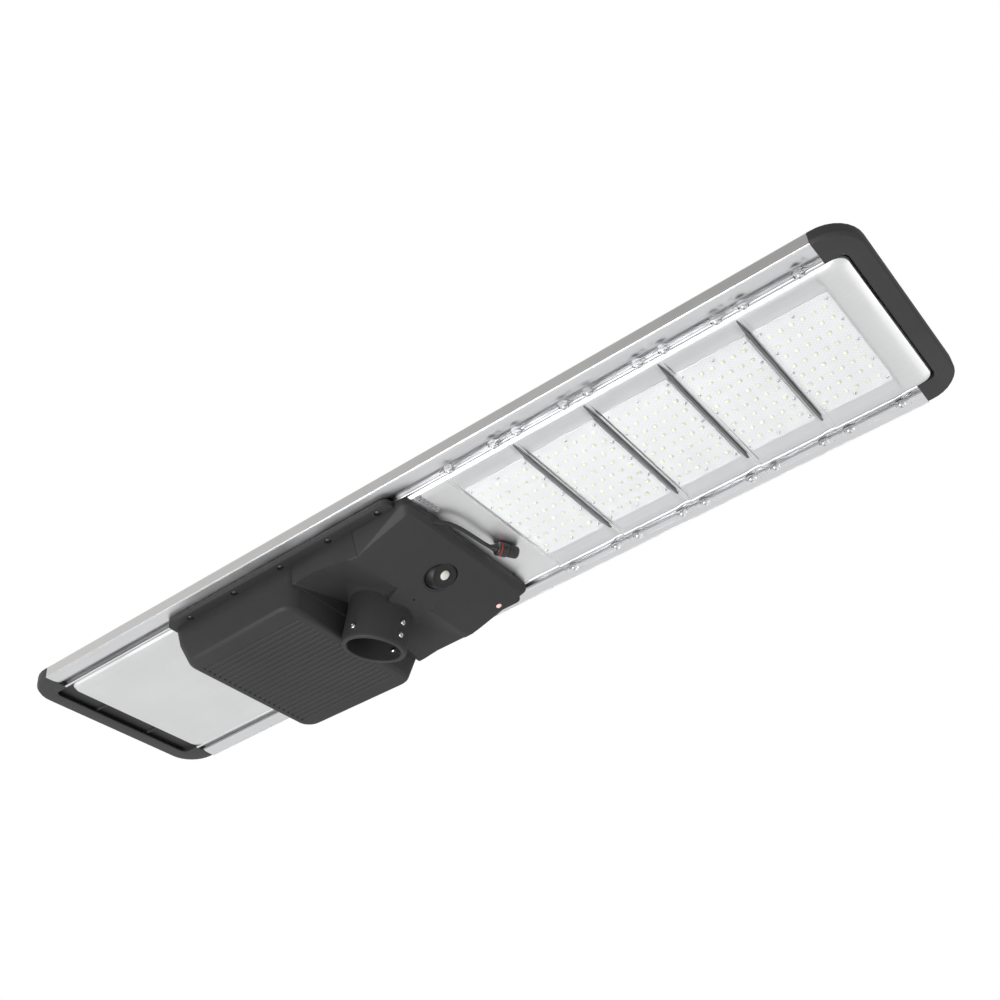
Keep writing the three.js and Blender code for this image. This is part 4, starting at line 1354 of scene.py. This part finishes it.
def sleeve_piece():
    """Outside of the pole sleeve, its mouth rounded."""
    profile = [(0, 0), (39.6, 0), (43.5, 0)]
    profile += [(43.5 + 3 * math.sin(a), 3 - 3 * math.cos(a)) for a in (0.4, 0.8, 1.2, 1.5)]
    profile += [(46.8, 4), (47, 5), (47, 77), (0, 77)]
    return turned_piece(profile, mm(*SLEEVE_MOUTH), SLEEVE_AXIS, 96)


def screw_places():
    """Flange screw stations; the last one on the far side is the open tether hole."""
    return [
        (SCREW_REAR_X + i * SCREW_PITCH, side * SCREW_Y, side > 0 and i == SCREWS_A_SIDE - 1)
        for side in (-1, 1) for i in range(SCREWS_A_SIDE)
    ]


def housing_openings():
    """Everything drilled or milled out of the housing."""
    bore = [(0, -20), (BORE_RADIUS, -20), (BORE_RADIUS, BORE_DEPTH), (0, BORE_DEPTH)]
    cuts = [
        turned_piece(bore, mm(*SLEEVE_MOUTH), SLEEVE_AXIS, 96),
        turned_piece(
            [(0, -2), (43, -2), (BORE_RADIUS, 1.2), (0, 1.2)], mm(*SLEEVE_MOUTH), SLEEVE_AXIS, 96
        ),
        turned_piece(
            [(0, -12), (27.6, -12), (27.6, 0.2), (24.5, 1.6), (24.5, 12), (0, 12)],
            mm(SENSOR_X, 0, plate_z(SENSOR_X)), PLATE_NORMAL, 64,
        ),
        turned_piece(
            [(0, -6), (4.5, -6), (4.5, 12), (0, 12)],
            mm(STATUS_X, STATUS_Y, plate_z(STATUS_X)), PLATE_NORMAL, 24,
        ),
        turned_piece(
            [(0, -12), (4.3, -12), (4.3, 12), (0, 12)], mm(*CABLE_EXIT), Vector(CABLE_HEADING), 24
        ),
        block_piece(-420, 60, -98, 98, -1.4, 8),
        block_piece(-420, 60, 97.9, 136, -4.4, 8),
        block_piece(-420, 60, -136, -97.9, -4.4, 8),
    ]
    for y in (-38.4, 0, 38.4):
        place = mm(GUIDE_HOLE_X, y, plate_z(GUIDE_HOLE_X))
        cuts.append(turned_piece([(0, -3), (1.6, -3), (1.6, 4), (0, 4)], place, PLATE_NORMAL, 16))
    up = Vector((0, 0, 1))
    for x, y, is_tether in screw_places():
        if is_tether:
            cuts.append(turned_piece([(0, -25), (4, -25), (4, 2), (0, 2)], mm(x, y, 0), up, 32))
            continue
        low = FLANGE_LOW_Z
        profile = [
            (0, low - 2), (5.6, low - 2), (5.0, low + 0.4), (5.0, low + 2.6), (2.6, low + 2.6),
            (2.6, 2), (0, 2),
        ]
        cuts.append(turned_piece(profile, mm(x, y, 0), up, 28))
    for angle, along in CLAMP_PLACES:
        outward = Matrix.Rotation(math.radians(angle), 3, SLEEVE_AXIS) @ Vector(
            (math.cos(SLEEVE_TILT), 0, -math.sin(SLEEVE_TILT))
        )
        origin = mm(*SLEEVE_MOUTH) + SLEEVE_AXIS * along / 1000
        cuts.append(turned_piece([(0, 20), (4.4, 20), (4.4, 60), (0, 60)], origin, outward, 24))
    return cuts


def rib_grooves():
    """The row of grooves along the battery box's underside, as one cutter."""

    def groove(bm):
        section = (
            (-4.0, -1.0), (4.0, -1.0), (2.5, 0.2), (1.8, 1.1), (0.7, 1.4), (-0.7, 1.4), (-1.8, 1.1),
            (-2.5, 0.2),
        )
        rows = [[bm.verts.new((x, y, z)) for y, z in section] for x in (-91.5, 91.5)]
        bm.faces.new(rows[0])
        bm.faces.new(rows[1])
        for i in range(len(section)):
            j = (i + 1) % len(section)
            bm.faces.new((rows[0][i], rows[0][j], rows[1][j], rows[1][i]))

    source = source_piece("groove_source", groove)
    cutter = grid_of(
        "groove_cutter", source, "housing_plastic", 1, 21, (0, 10.2, 0), (-288.5, 0, BOX_LOW_Z)
    )
    discard(source)
    return cutter


class MakeHousing(bpy.types.Operator):
    """Lower housing with its seal and the flange screws"""

    bl_idname = "street_lamp.housing"
    bl_label = "Housing"

    def execute(self, context):
        edge = context.scene.lamp_housing.edge
        shell = battery_box(0, edge)
        shell.name = "housing_shell"
        combine(shell, "UNION", [sensor_block(0, edge * 0.8), saddle(edge * 0.6)])
        combine(shell, "DIFFERENCE", [battery_box(3, 0), sensor_block(3, 0)])
        inside = block_piece(-176, -66, 3 - SKIRT_HALF, SKIRT_HALF - 3, -14, 5)
        combine(shell, "DIFFERENCE", [inside])
        combine(shell, "DIFFERENCE", [pocket(1), pocket(-1)])
        rim = plan_at(FLANGE_REAR_X, 156, 12, 156, 12, FLANGE_LOW_Z)
        rim += plan_at(FLANGE_REAR_X, 156, 12, 156, 12, HOUSING_TOP_Z)
        flange = hull_piece(rim, 0.8)
        combine(flange, "DIFFERENCE", [block_piece(-400, 60, -137, 137, -30, 5)])
        front, rear = -93, PLATE_REAR_X + 2
        tab = [(front, y * 0.8, z) for y in (-37, 37) for z in (plate_z(front), -30)]
        tab += [(rear, y, z) for y in (-37, 37) for z in (plate_z(rear), -30)]
        combine(shell, "UNION", [flange, hull_piece(tab, 0.8), sleeve_piece()])
        combine(shell, "DIFFERENCE", [*housing_openings(), rib_grooves()])
        shade_by_angle(shell.data, 32)
        settle(shell, "housing_plastic", LAMP, "lower_housing")
        softened("housing_seal", "housing_gasket", "seal_rubber", 0)
        for node in frame["nodes"]:
            if node.startswith("flange_screw"):
                bolt = softened(node, node.replace("_screw", "_bolt"), "black_screw", 0.3, 2, 40)
            if node.startswith("clamp_screw"):
                softened(node, node.replace("_screw", "_bolt"), "screw_steel", 0.3, 2, 40)
        return {"FINISHED"}


class MakeSensor(bpy.types.Operator):
    """Sensor eye in its retainer, and the status light"""

    bl_idname = "street_lamp.sensor"
    bl_label = "Sensor"

    def execute(self, context):
        softened("sensor_ball", "sensor_eye", "sensor_plastic", 0.6, 2, 40)
        softened("sensor_retainer", "sensor_socket", "sensor_plastic", 0.5, 2, 40)
        softened("sensor_lens", "sensor_window", "sensor_lens_plastic", 0)
        softened("status_lens", "status_light", "status_lens_plastic", 0)
        return {"FINISHED"}


class MakeBattery(bpy.types.Operator):
    """Battery cells, their strap and the charge controller"""

    bl_idname = "street_lamp.battery"
    bl_label = "Battery"

    def execute(self, context):
        for number in range(1, 5):
            softened(f"battery_cell_{number}", f"cell_{number}", "battery_wrap", 1.5, 3)
        softened("battery_strap", "cell_strap", "strap_steel", 0.4)
        softened("charge_controller", "controller", "controller_case", 0.6)
        return {"FINISHED"}


OPERATORS = (
    SetStudio, MakeOutputLead, MakeRails, MakeEndCaps, MakeSolarFace, MakeBackTray,
    MakeLightModules, MakeHousing, MakeSensor, MakeBattery,
)


class LampPanel(bpy.types.Panel):
    """Lists every piece of the street lamp"""

    bl_idname = "VIEW3D_PT_street_lamp"
    bl_label = "Street lamp"
    bl_space_type = "VIEW_3D"
    bl_region_type = "UI"
    bl_category = "Street lamp"

    def draw(self, context):
        for operator in OPERATORS:
            self.layout.operator(operator.bl_idname)
        for name, group in SETTINGS.items():
            box = self.layout.box()
            box.label(text=group.__doc__.strip("."))
            for prop in group.__annotations__:
                box.prop(getattr(context.scene, name), prop)


def register():
    for group in SETTINGS.values():
        bpy.utils.register_class(group)
    for name, group in SETTINGS.items():
        setattr(bpy.types.Scene, name, bpy.props.PointerProperty(type=group))
    for operator in OPERATORS:
        bpy.utils.register_class(operator)
    bpy.utils.register_class(LampPanel)


def unregister():
    bpy.utils.unregister_class(LampPanel)
    for operator in reversed(OPERATORS):
        bpy.utils.unregister_class(operator)
    for name in SETTINGS:
        delattr(bpy.types.Scene, name)
    for group in SETTINGS.values():
        bpy.utils.unregister_class(group)


def main():
    register()
    for operator in OPERATORS:
        getattr(bpy.ops.street_lamp, operator.bl_idname.split(".")[1])()
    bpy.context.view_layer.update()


if __name__ == "__main__":
    main()
